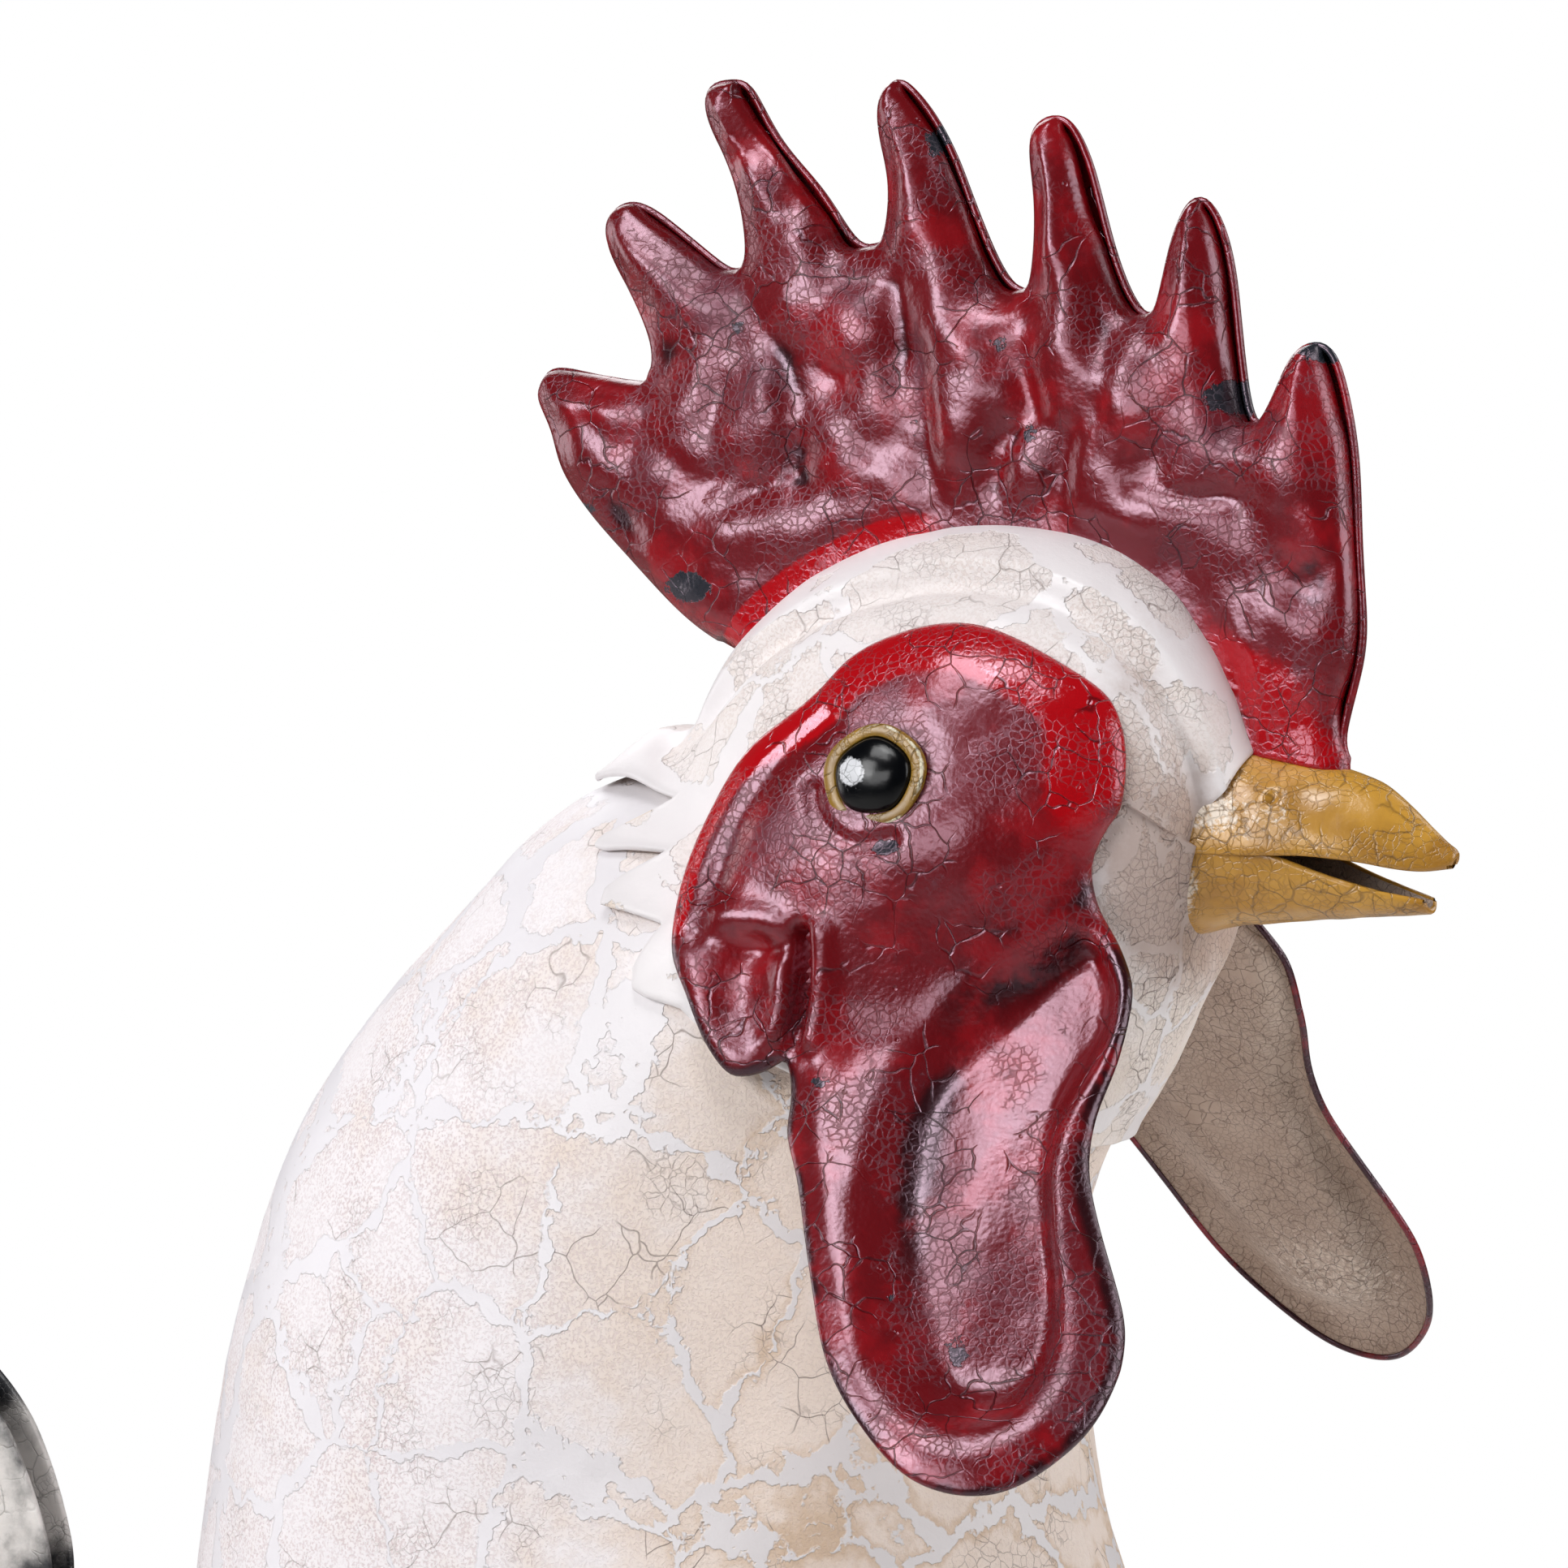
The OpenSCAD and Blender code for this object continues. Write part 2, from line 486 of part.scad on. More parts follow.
// thigh: a drumstick of sheet between the belly and the leg rod
hock_z = 0.30 * crown_h;
thigh_du = 1.1;
thigh_dphi = 20;
thigh_rows = [0, 0.2, 0.45, 0.75, 1];
function thigh_point(f, a, thin) =
    let (k = 1 - 3 * thin / leg_at[1] / 1.5,
        top = skin(leg_u + thigh_du * k * cos(a), leg_phi - 4 + thigh_dphi * k * sin(a), lap_gap + 0.2 * sheet_t),
        r = rod_d / 2 + seat_gap + sheet_t - thin,
        low = [leg_at[0] - r * cos(a), leg_at[1] - r * sin(a), hock_z], g = pow(f, 1.5))
    [blend(top[0], low[0], g), blend(top[1], low[1], g), blend(top[2], low[2], f)];
module thigh(s) {
    n = 14;
    outer = [for (f = thigh_rows) [for (j = [0:n - 1]) sided(thigh_point(f, 360 * j / n, 0), s)]];
    inner = [for (f = thigh_rows) [for (j = [0:n - 1]) sided(thigh_point(f, 360 * j / n, sheet_t), s)]];
    tube_sheet(outer, inner, s > 0);
}

// legs and feet
socket_z = foot_h / 3;
module leg_rod(s) {
    translate([leg_at[0], leg_at[1] * s, socket_z + seat_gap])
        cylinder(d = rod_d, h = rod_top - socket_z - seat_gap, $fn = 48);
}
module leg_brace_bar() {
    translate([leg_at[0] - rod_d, -leg_at[1] - rod_d, rod_top + seat_gap])
        cube([2 * rod_d, 2 * leg_at[1] + 2 * rod_d, rod_d * 0.45]);
}
spur_z = 0.17 * crown_h;
module spur(s) {
    difference() {
        translate([leg_at[0], leg_at[1] * s, spur_z])
            rotate([0, -62, 0])
                cylinder(d1 = rod_d * 0.72, d2 = rod_d * 0.14, h = spur_l + rod_d / 2, $fn = 32);
        translate([leg_at[0], leg_at[1] * s, spur_z - spur_l])
            cylinder(d = rod_d + 2 * seat_gap, h = 3 * spur_l, $fn = 48);
    }
}
toe_angles = [2, 25, -34, 184];
toe_len_shares = [1, 0.86, 0.86, 0.66];
module toe(a, l) {
    hull() {
        cylinder(d1 = rod_d * 1.1, d2 = rod_d * 0.8, h = foot_h * 0.62, $fn = 16);
        rotate([0, 0, a])
            translate([l * 0.6, 0, 0])
                cylinder(d1 = rod_d * 0.85, d2 = rod_d * 0.5, h = foot_h * 0.5, $fn = 16);
        rotate([0, 0, a])
            translate([l - rod_d * 0.15, 0, 0])
                cylinder(d1 = rod_d * 0.3, d2 = rod_d * 0.2, h = foot_h * 0.2, $fn = 16);
    }
}
module foot(s) {
    translate([leg_at[0], leg_at[1] * s, 0])
        difference() {
            union() {
                cylinder(d1 = rod_d * 1.75, d2 = rod_d * 1.4, h = foot_h, $fn = 48);
                for (i = [0:3])
                    toe(-s * toe_angles[i], toe_len_shares[i] * toe_l);
            }
            translate([0, 0, socket_z])
                cylinder(d = rod_d + 2 * seat_gap, h = foot_h, $fn = 48);
        }
}

// the beak tip and the back of the main sickles set the middle of the whole bird
back_x = min([for (k = [0:30]) for (c = [-1, 0, 1]) tail_point(tail_shares[2], k / 30, c, 1)[0]]);
front_x = max([for (k = [0:10]) beak_point(beak_shares, k / 2, 0, 0)[0]]);
shift_x = -(back_x + front_x) / 2;
module placed() {
    translate([shift_x, 0, 0])
        children();
}

comb_red = [0.45, 0.06, 0.09];
cream = [0.86, 0.82, 0.72];
ochre = [0.75, 0.55, 0.16];
black = [0.05, 0.05, 0.05];
rust = [0.35, 0.22, 0.15];
white = [0.90, 0.89, 0.85];

module head_shell_right() { color(cream) placed() head_shell(-1); }
module head_shell_left() { color(cream) placed() head_shell(1); }
module neck_cape_right() { color(white) placed() neck_cape(-1); }
module neck_cape_left() { color(white) placed() neck_cape(1); }
module body_shell_right() { color(white) placed() body_shell(-1); }
module body_shell_left() { color(white) placed() body_shell(1); }
module comb_right() { color(comb_red) placed() comb_half(-1); }
module comb_left() { color(comb_red) placed() comb_half(1); }
module face_plate_right() { color(comb_red) placed() face_plate(-1); }
module face_plate_left() { color(comb_red) placed() face_plate(1); }
module eye_right() { color(black) placed() eye_button(-1); }
module eye_left() { color(black) placed() eye_button(1); }
module upper_beak() { color(ochre) placed() beak_half(beak_shares, false); }
module lower_beak() { color(ochre) placed() beak_half(jaw_shares, true); }
module wing_shield_right() { color(white) placed() wing_shield(-1); }
module wing_shield_left() { color(white) placed() wing_shield(1); }
module flight_feather_right_1() { color(white) placed() flight_feather(0, -1); }
module flight_feather_right_2() { color(white) placed() flight_feather(1, -1); }
module flight_feather_right_3() { color(white) placed() flight_feather(2, -1); }
module flight_feather_right_4() { color(white) placed() flight_feather(3, -1); }
module flight_feather_right_5() { color(white) placed() flight_feather(4, -1); }
module flight_feather_left_1() { color(white) placed() flight_feather(0, 1); }
module flight_feather_left_2() { color(white) placed() flight_feather(1, 1); }
module flight_feather_left_3() { color(white) placed() flight_feather(2, 1); }
module flight_feather_left_4() { color(white) placed() flight_feather(3, 1); }
module flight_feather_left_5() { color(white) placed() flight_feather(4, 1); }
module tail_cap() { color(white) placed() tail_cap_body(); }
module tail_centre_feather() { color(black) placed() tail_feather(0, 1); }
module tail_covert_right() { color(white) placed() tail_feather(1, -1); }
module tail_covert_left() { color(white) placed() tail_feather(1, 1); }
module main_sickle_right() { color(black) placed() tail_feather(2, -1); }
module main_sickle_left() { color(black) placed() tail_feather(2, 1); }
module second_sickle_right() { color(black) placed() tail_feather(3, -1); }
module second_sickle_left() { color(black) placed() tail_feather(3, 1); }
module third_sickle_right() { color(black) placed() tail_feather(4, -1); }
module third_sickle_left() { color(black) placed() tail_feather(4, 1); }
module low_sickle_right() { color(black) placed() tail_feather(5, -1); }
module low_sickle_left() { color(black) placed() tail_feather(5, 1); }
module thigh_right() { color(white) placed() thigh(-1); }
module thigh_left() { color(white) placed() thigh(1); }
module leg_rod_right() { color(ochre) placed() leg_rod(-1); }
module leg_rod_left() { color(ochre) placed() leg_rod(1); }
module leg_brace() { color(rust) placed() leg_brace_bar(); }
module spur_right() { color(ochre) placed() spur(-1); }
module spur_left() { color(ochre) placed() spur(1); }
module foot_right() { color(ochre) placed() foot(-1); }
module foot_left() { color(ochre) placed() foot(1); }

head_shell_right();
head_shell_left();
neck_cape_right();
neck_cape_left();
body_shell_right();
body_shell_left();
comb_right();
comb_left();
face_plate_right();
face_plate_left();
eye_right();
eye_left();
upper_beak();
lower_beak();
wing_shield_right();
wing_shield_left();
flight_feather_right_1();
flight_feather_right_2();
flight_feather_right_3();
flight_feather_right_4();
flight_feather_right_5();
flight_feather_left_1();
flight_feather_left_2();
flight_feather_left_3();
flight_feather_left_4();
flight_feather_left_5();
tail_cap();
tail_centre_feather();
tail_covert_right();
tail_covert_left();
main_sickle_right();
main_sickle_left();
second_sickle_right();
second_sickle_left();
third_sickle_right();
third_sickle_left();
low_sickle_right();
low_sickle_left();
thigh_right();
thigh_left();
leg_rod_right();
leg_rod_left();
leg_brace();
spur_right();
spur_left();
foot_right();
foot_left();
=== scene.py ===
"""Rooster garden sculpture of pressed, painted sheet iron.

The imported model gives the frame. Every sheet of the bird is worked out here again as a fine surface
in millimetres, in the bird's own frame, and dressed in its painted and crackled finish.
"""

import enum
import logging
import math
from dataclasses import dataclass

import bpy
import numpy as np
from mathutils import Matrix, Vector
from mathutils.geometry import delaunay_2d_cdt


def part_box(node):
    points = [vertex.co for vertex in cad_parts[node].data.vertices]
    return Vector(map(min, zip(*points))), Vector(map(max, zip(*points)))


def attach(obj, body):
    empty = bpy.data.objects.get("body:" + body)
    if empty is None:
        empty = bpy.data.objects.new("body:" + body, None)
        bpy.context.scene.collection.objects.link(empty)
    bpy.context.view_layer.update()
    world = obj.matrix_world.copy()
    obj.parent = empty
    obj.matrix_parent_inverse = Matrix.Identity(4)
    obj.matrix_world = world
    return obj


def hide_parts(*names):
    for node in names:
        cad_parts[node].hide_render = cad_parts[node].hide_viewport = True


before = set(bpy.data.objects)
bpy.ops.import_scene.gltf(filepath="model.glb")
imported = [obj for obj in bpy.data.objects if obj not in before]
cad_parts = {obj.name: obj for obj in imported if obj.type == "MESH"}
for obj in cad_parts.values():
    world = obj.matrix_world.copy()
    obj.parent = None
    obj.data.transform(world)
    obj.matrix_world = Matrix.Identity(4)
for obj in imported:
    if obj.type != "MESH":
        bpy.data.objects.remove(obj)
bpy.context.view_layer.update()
log = logging.getLogger("rooster")

MM = 0.001


class Side(enum.Enum):
    """Side of the bird; the value is the sign of Y."""

    RIGHT = -1.0
    LEFT = 1.0

    @property
    def word(self) -> str:
        """Return the word that ends the node names of this side."""
        return self.name.lower()


# ---------------------------------------------------------------- curves, masks and noise


def spline(rows: np.ndarray, t: np.ndarray, closed: bool = False) -> np.ndarray:
    """Carry a cubic curve through rows of values that stand at whole numbers.

    The second derivatives solve the usual three-term system, with free ends or as a ring.

    Args:
        rows: one row of values for each whole number.
        t: where the curve is wanted.
        closed: True joins the last row to the first.

    Returns:
        The values, with the shape of t and then the length of a row.
    """
    rows = np.asarray(rows, float)
    n = len(rows)
    a = np.eye(n) * 4.0
    rhs = np.zeros_like(rows)
    if closed:
        a += np.roll(np.eye(n), 1, 0) + np.roll(np.eye(n), -1, 0)
        rhs = 6.0 * (np.roll(rows, 1, 0) - 2.0 * rows + np.roll(rows, -1, 0))
    else:
        k = np.arange(1, n - 1)
        a[k, k - 1] = 1.0
        a[k, k + 1] = 1.0
        a[0, 0] = a[-1, -1] = 1.0
        rhs[1:-1] = 6.0 * (rows[:-2] - 2.0 * rows[1:-1] + rows[2:])
    m = np.linalg.solve(a, rhs)
    t = np.asarray(t, float)
    i = np.floor(t).astype(int) % n if closed else np.clip(np.floor(t).astype(int), 0, n - 2)
    f = (t - np.floor(t) if closed else t - i)[..., None]
    j = (i + 1) % n
    g = 1.0 - f
    return g * rows[i] + f * rows[j] + ((g**3 - g) * m[i] + (f**3 - f) * m[j]) / 6.0


def even_curve(points: list, step: float, closed: bool = False) -> np.ndarray:
    """Return points about step apart along the smooth curve through the given points."""
    rows = np.array(points, float)
    n = len(rows) if closed else len(rows) - 1
    fine = spline(rows, np.linspace(0, n, 60 * n + 1), closed)
    run = np.concatenate([[0], np.cumsum(np.linalg.norm(np.diff(fine, axis=0), axis=1))])
    count = max(int(run[-1] / step), 2)
    want = np.linspace(0, run[-1], count + 1)
    want = want[:-1] if closed else want
    return np.stack([np.interp(want, run, fine[:, k]) for k in range(fine.shape[1])], -1)


def ease(x: np.ndarray, low: float, high: float) -> np.ndarray:
    """Return 0 at low, 1 at high and a smooth step between them."""
    t = np.clip((np.asarray(x, float) - low) / (high - low), 0, 1)
    return t * t * (3 - 2 * t)


def bell(x: np.ndarray, width: float) -> np.ndarray:
    """Return 1 at zero and less the further x is from it, measured in widths."""
    return np.exp(-((x / width) ** 2))


def join(*values: np.ndarray | float) -> np.ndarray:
    """Return points from their coordinates, each filled out to the shape that they share."""
    return np.stack(np.broadcast_arrays(*values), -1)


def off_path(p: np.ndarray, path: np.ndarray) -> np.ndarray:
    """Return the distance of each point from a line of straight stretches in the same plane."""
    best = np.full(p.shape[:-1], 1e9)
    for a, b in zip(path[:-1], path[1:]):
        d = b - a
        t = np.clip(((p - a) @ d) / max(float(d @ d), 1e-12), 0, 1)
        best = np.minimum(best, np.linalg.norm(p - a - t[..., None] * d, axis=-1))
    return best


def within(p: np.ndarray, ring: np.ndarray) -> np.ndarray:
    """Return True for each point inside a closed line.

    A ray from such a point to its left crosses the line an odd number of times.
    """
    inside = np.zeros(p.shape[:-1], bool)
    for a, b in zip(ring, np.roll(ring, -1, 0)):
        cross = (a[1] > p[..., 1]) != (b[1] > p[..., 1])
        at = a[0] + (p[..., 1] - a[1]) * (b[0] - a[0]) / (b[1] - a[1] if b[1] != a[1] else 1e-9)
        inside ^= cross & (p[..., 0] < at)
    return inside


def depth_in(p: np.ndarray, ring: np.ndarray) -> np.ndarray:
    """Return the distance from a closed line, above zero inside it and below zero outside."""
    return off_path(p, np.concatenate([ring, ring[:1]])) * np.where(within(p, ring), 1.0, -1.0)


def fold(p: np.ndarray, points: list, width: float, height: float) -> np.ndarray:
    """Return a rounded fold along a smooth path: height times the bell of distance over width."""
    return height * bell(off_path(p, even_curve(points, 3.0)), width)


def mound(p: np.ndarray, x: float, z: float, rx: float, rz: float, height: float, turn: float = 0.0,
          full: float = 1.0) -> np.ndarray:
    """Return a rounded mound: height times the bell of the distance in units of its two radii.

    A higher full flattens the top and steepens the flanks.
    """
    c, s = math.cos(math.radians(turn)), math.sin(math.radians(turn))
    dx, dz = p[..., 0] - x, p[..., 1] - z
    return height * np.exp(-((((dx * c + dz * s) / rx) ** 2 + ((dz * c - dx * s) / rz) ** 2) ** full))


class Lattice:
    """Smooth noise: seeded random values on a cubic lattice, blended between the corners."""

    def __init__(self, seed: int) -> None:
        """Fill the lattice with values from -1 to 1."""
        self.v = np.random.default_rng(seed).uniform(-1, 1, (24, 24, 24))

    def at(self, p: np.ndarray, size: float) -> np.ndarray:
        """Return the noise at points p, in millimetres, for blobs of the given size."""
        q = p / size + 100.0
        i = np.floor(q).astype(int)
        f = q - i
        f = f * f * f * (f * (f * 6 - 15) + 10)
        out = np.zeros(p.shape[:-1])
        for c in range(8):
            o = np.array([c & 1, c >> 1 & 1, c >> 2 & 1])
            k = (i + o) % 24
            out += np.prod(np.where(o == 1, f, 1 - f), axis=-1) * self.v[k[..., 0], k[..., 1], k[..., 2]]
        return out

    def layers(self, p: np.ndarray, size: float, count: int = 3) -> np.ndarray:
        """Return layers of noise, each half the size and half the height of the one before."""
        return sum(self.at(p + 37.0 * k, size / 2**k) / 2**k for k in range(count))


DENTS = Lattice(7)


def scales(row: np.ndarray, lane: np.ndarray) -> np.ndarray:
    """Return rows of small pressed feathers, low at the root and high at the tip, each row half a feather on."""
    lane = lane + 0.5 * (np.floor(row) % 2)
    return (row % 1) * (1 - 1.6 * np.abs(lane % 1 - 0.5) ** 2)


def unit(v: np.ndarray) -> np.ndarray:
    """Return vectors of length one, and zero where there is no length."""
    return v / np.maximum(np.linalg.norm(v, axis=-1, keepdims=True), 1e-9)


# ---------------------------------------------------------------- the skin that head, neck and body share

CROWN_H = 681.0
BODY_L = 256.0
BODY_W = 176.0
SHEET = 1.2
LAP = 0.7
# distance of a half's edge from the middle plane, and half the width of the comb's foot
SEAM = 0.15
COMB_HALF = 9.0
CAPE_OFF = SHEET + LAP
HEAD_OFF = 2 * CAPE_OFF

# sections from the beak root to the tail cap: top x, top height, bottom x, bottom height, half width
SECTION_SHARES = np.array([
    [0.420, 0.949, 0.385, 0.904, 0.085], [0.395, 0.966, 0.375, 0.898, 0.120],
    [0.340, 0.987, 0.365, 0.892, 0.150], [0.255, 0.996, 0.350, 0.881, 0.180],
    [0.165, 0.991, 0.340, 0.871, 0.200], [0.083, 0.971, 0.325, 0.862, 0.220],
    [0.026, 0.9445, 0.310, 0.854, 0.240], [-0.053, 0.9325, 0.290, 0.844, 0.265],
    [-0.140, 0.903, 0.272, 0.824, 0.295], [-0.222, 0.870, 0.270, 0.803, 0.322],
    [-0.285, 0.827, 0.277, 0.780, 0.341], [-0.323, 0.778, 0.295, 0.747, 0.360],
    [-0.342, 0.730, 0.335, 0.709, 0.383], [-0.348, 0.687, 0.366, 0.664, 0.412],
    [-0.356, 0.662, 0.385, 0.605, 0.445], [-0.374, 0.652, 0.370, 0.543, 0.476],
    [-0.410, 0.648, 0.280, 0.486, 0.493], [-0.420, 0.648, 0.120, 0.452, 0.470],
    [-0.430, 0.648, -0.060, 0.443, 0.430], [-0.440, 0.649, -0.235, 0.460, 0.375],
    [-0.445, 0.652, -0.390, 0.496, 0.300], [-0.450, 0.656, -0.515, 0.549, 0.225],
    [-0.455, 0.661, -0.595, 0.598, 0.155]])
SECTIONS = SECTION_SHARES * np.array([BODY_L, CROWN_H, BODY_L, CROWN_H, BODY_W])
LAST = len(SECTIONS) - 1
BEAK_TIP_X = 0.560 * BODY_L + 0.3
# the frame's origin is in the middle of the whole bird, so the bird's own X moves by this much
SHIFT_X = float(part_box("upper_beak")[1][0]) / MM - BEAK_TIP_X


class Skin:
    """The one surface of head, neck and body.

    A section is an ellipse between a top and a bottom point; u runs along the bird through the
    sections and phi, in degrees, from the top seam to the bottom seam.
    """

    def base(self, u: np.ndarray, phi: np.ndarray) -> np.ndarray:
        """Return the point: middle plus half the height times cos phi, half width times sin phi."""
        s = spline(SECTIONS, u)
        c, d = np.cos(np.radians(phi)), np.sin(np.radians(phi))
        return join((s[..., 0] + s[..., 2]) / 2 + (s[..., 0] - s[..., 2]) / 2 * c, s[..., 4] * d,
                    (s[..., 1] + s[..., 3]) / 2 + (s[..., 1] - s[..., 3]) / 2 * c)

    def normal(self, u: np.ndarray, phi: np.ndarray) -> np.ndarray:
        """Return the outward direction, from small steps both ways."""
        along = self.base(u + 0.02, phi) - self.base(u - 0.02, phi)
        return unit(np.cross(self.base(u, phi + 1) - self.base(u, phi - 1), along))

    def point(self, u: np.ndarray, phi: np.ndarray, off: np.ndarray | float) -> np.ndarray:
        """Return the point, moved outwards by off."""
        u, phi = np.broadcast_arrays(np.asarray(u, float), np.asarray(phi, float))
        return self.base(u, phi) + self.normal(u, phi) * np.broadcast_to(off, u.shape)[..., None]

    def head_side(self, x: np.ndarray, z: np.ndarray, off: float) -> np.ndarray:
        """Return the half width at x and z in the side view of a head that is larger all round by off.

        The section is found by halving the range of u; then it is half width times the root of one
        minus c squared.
        """
        low, high = np.full(x.shape, -0.5), np.full(x.shape, 9.0)

        def miss(u: np.ndarray) -> np.ndarray:
            """Return the side of the section's line on which the point lies."""
            s = spline(SECTIONS, u)
            return (x - s[..., 2]) * (s[..., 1] - s[..., 3]) - (z - s[..., 3]) * (s[..., 0] - s[..., 2])

        first = miss(low) > 0
        for _ in range(24):
            mid = (low + high) / 2
            same = (miss(mid) > 0) == first
            low, high = np.where(same, mid, low), np.where(same, high, mid)
        s = spline(SECTIONS, low)
        dx, dz = s[..., 0] - s[..., 2], s[..., 1] - s[..., 3]
        d = np.hypot(dx, dz)
        c = (2 * ((x - s[..., 2]) * dx + (z - s[..., 3]) * dz) / (d * d) - 1) * d / (d + 2 * off)
        return (s[..., 4] + off) * np.sqrt(np.clip(1 - c * c, 0, None))


SKIN = Skin()


# ---------------------------------------------------------------- meshes


class Shape:
    """Points, faces and marks gathered for one piece, in millimetres in the bird's own frame."""

    def __init__(self) -> None:
        """Start with nothing."""
        self.points: list[np.ndarray] = []
        self.faces: list[np.ndarray] = []
        self.parts: list[np.ndarray] = []
        self.marks: dict[str, list[np.ndarray]] = {}
        self.count = 0

    def add(self, points: np.ndarray, faces: np.ndarray, part: int, marks: dict[str, np.ndarray | float]) -> None:
        """Add points, faces (a triangle repeats its last point) and the marks of the points."""
        flat = points.reshape(-1, 3)
        for key in {**self.marks, **marks}:
            rows = self.marks.setdefault(key, [np.zeros(self.count)] if self.count else [])
            rows.append(np.broadcast_to(np.asarray(marks.get(key, 0.0), float), points.shape[:-1]).reshape(-1))
        self.points.append(flat)
        self.faces.append(faces + self.count)
        self.parts.append(np.full(len(faces), part))
        self.count += len(flat)

    def patch(self, grid: np.ndarray, part: int = 0, wrap: bool = False, flip: bool = False,
              **marks: np.ndarray | float) -> None:
        """Add a grid of points as quads; wrap joins the last column to the first."""
        n = np.arange(grid.shape[0] * grid.shape[1]).reshape(grid.shape[:2])
        if wrap:
            n = np.concatenate([n, n[:, :1]], 1)
        quads = np.stack([n[:-1, :-1], n[:-1, 1:], n[1:, 1:], n[1:, :-1]], -1).reshape(-1, 4)
        self.add(grid, quads[:, ::-1] if flip else quads, part, marks)

    def rim(self, outer: np.ndarray, inner: np.ndarray, away: np.ndarray, part: int, wrap: bool = False,
            flip: bool = False, **marks: np.ndarray | float) -> None:
        """Close a sheet's edge with a half round: the middle plus cos and sin of five angles."""
        t = np.radians(np.array([0, 45, 90, 135, 180]))[:, None, None]
        half = (outer - inner) / 2
        reach = np.linalg.norm(half, axis=-1, keepdims=True)
        grid = (outer + inner) / 2 + half * np.cos(t) + unit(away) * reach * np.sin(t)
        grid[0], grid[-1] = outer, inner
        self.patch(grid, part, wrap, flip, **marks)

    def sheet(self, outer: np.ndarray, inner: np.ndarray, wrap: bool = False, parts: tuple[int, int, int] = (0, 0, 0),
              **marks: np.ndarray | float) -> None:
        """Add a closed sheet between two grids.

        Args:
            outer: the outer face.
            inner: the inner face.
            wrap: True for a sheet that runs round, with the last column joined to the first.
            parts: material numbers of the outer face, the inner face and the edge.
            marks: values for the points of the grid.
        """
        marks = {k: np.broadcast_to(v, outer.shape[:2]) for k, v in marks.items()}
        self.patch(outer, parts[0], wrap, **marks)
        self.patch(inner, parts[1], wrap, True, **marks)
        for a, b, flip in ((0, 1, True), (-1, -2, False)):
            edge = {k: v[a] for k, v in marks.items()}
            self.rim(outer[a], inner[a], outer[a] - outer[b], parts[2], wrap, flip, **edge)
        if not wrap:
            for a, b, flip in ((0, 1, False), (-1, -2, True)):
                edge = {k: v[:, a] for k, v in marks.items()}
                self.rim(outer[:, a], inner[:, a], outer[:, a] - outer[:, b], parts[2], False, flip, **edge)

    def make(self, node: str, kind: str, side: Side | None, mats: list, slot: str, crease: float = 55.0) -> None:
        """Weld the points, build the mesh, turn its faces outwards and tie it to the frame.

        Points that lie within a thousandth of a millimetre become one, which closes seams and poles.

        Args:
            node: the CAD node that it stands for, which starts the piece's name.
            kind: the word that ends the piece's name.
            side: the side of the bird, or None for a piece on the middle line.
            mats: the materials by number.
            slot: the record's material slot; not used.
            crease: faces that meet at more than this angle, in degrees, meet in a sharp edge.
        """
        name = f"{node}_{kind}"
        v = np.concatenate(self.points)
        v[:, 1] *= 1.0 if side is None else side.value
        v[:, 0] += SHIFT_X
        key = np.ascontiguousarray(np.round(v, 3) + 0.0).view([("", float)] * 3).ravel()
        _, first, back = np.unique(key, return_index=True, return_inverse=True)
        v = v[first]
        quads = back.reshape(-1)[np.concatenate(self.faces)]
        parts = np.concatenate(self.parts)
        nxt = np.roll(quads, -1, axis=1)
        same = quads == nxt
        good = same.sum(1) <= 1
        tri = v[quads[good]]
        volume = np.einsum("ij,ij->i", tri[:, 0], np.cross(tri[:, 1], tri[:, 2])).sum()
        volume += np.einsum("ij,ij->i", tri[:, 0], np.cross(tri[:, 2], tri[:, 3])).sum()
        if volume < 0:
            quads, same = quads[:, ::-1], same[:, [2, 1, 0, 3]]
        rows = quads[good].tolist()
        for k in np.flatnonzero(same[good].any(1)):
            rows[k] = list(dict.fromkeys(rows[k]))
        me = bpy.data.meshes.new(name)
        me.from_pydata((v * MM).tolist(), [], rows)
        me.polygons.foreach_set("material_index", parts[good].astype(np.int32))
        me.polygons.foreach_set("use_smooth", np.ones(len(rows), bool))
        for key_name, value in self.marks.items():
            data = me.attributes.new(key_name, "FLOAT", "POINT").data
            data.foreach_set("value", np.concatenate(value)[first].astype(np.float32))
        for mat in mats:
            me.materials.append(mat)
        me.set_sharp_from_angle(angle=math.radians(crease))
        me.update()
        ob = bpy.data.objects.new(name, me)
        bpy.context.collection.objects.link(ob)
        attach(ob, "root")
        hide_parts(node)
        log.info("%s: %d faces", name, len(rows))

    def pair(self, node: str, kind: str, mats: list, slot: str, crease: float = 55.0) -> None:
        """Build a right and a left copy; the side's word goes where the node's name has braces."""
        for side in Side:
            self.make(node.format(side.word), kind, side, mats, slot, crease)


def dome(outer: np.ndarray, inner: np.ndarray, **marks: np.ndarray | float) -> Shape:
    """Return a round sheet between two grids whose first rows are its middle."""
    s = Shape()
    s.patch(outer, 0, True, **marks)
    s.patch(inner, 1, True, True)
    s.rim(outer[-1], inner[-1], outer[-1] - outer[-2], 0, True)
    return s


def half(outer: np.ndarray, inner: np.ndarray, **marks: np.ndarray | float) -> Shape:
    """Return the sheet of a half, moved SEAM away from the middle plane."""
    s = Shape()
    away = np.array([0.0, SEAM, 0.0])
    s.sheet(outer + away, inner + away, parts=(0, 1, 0), **marks)
    return s


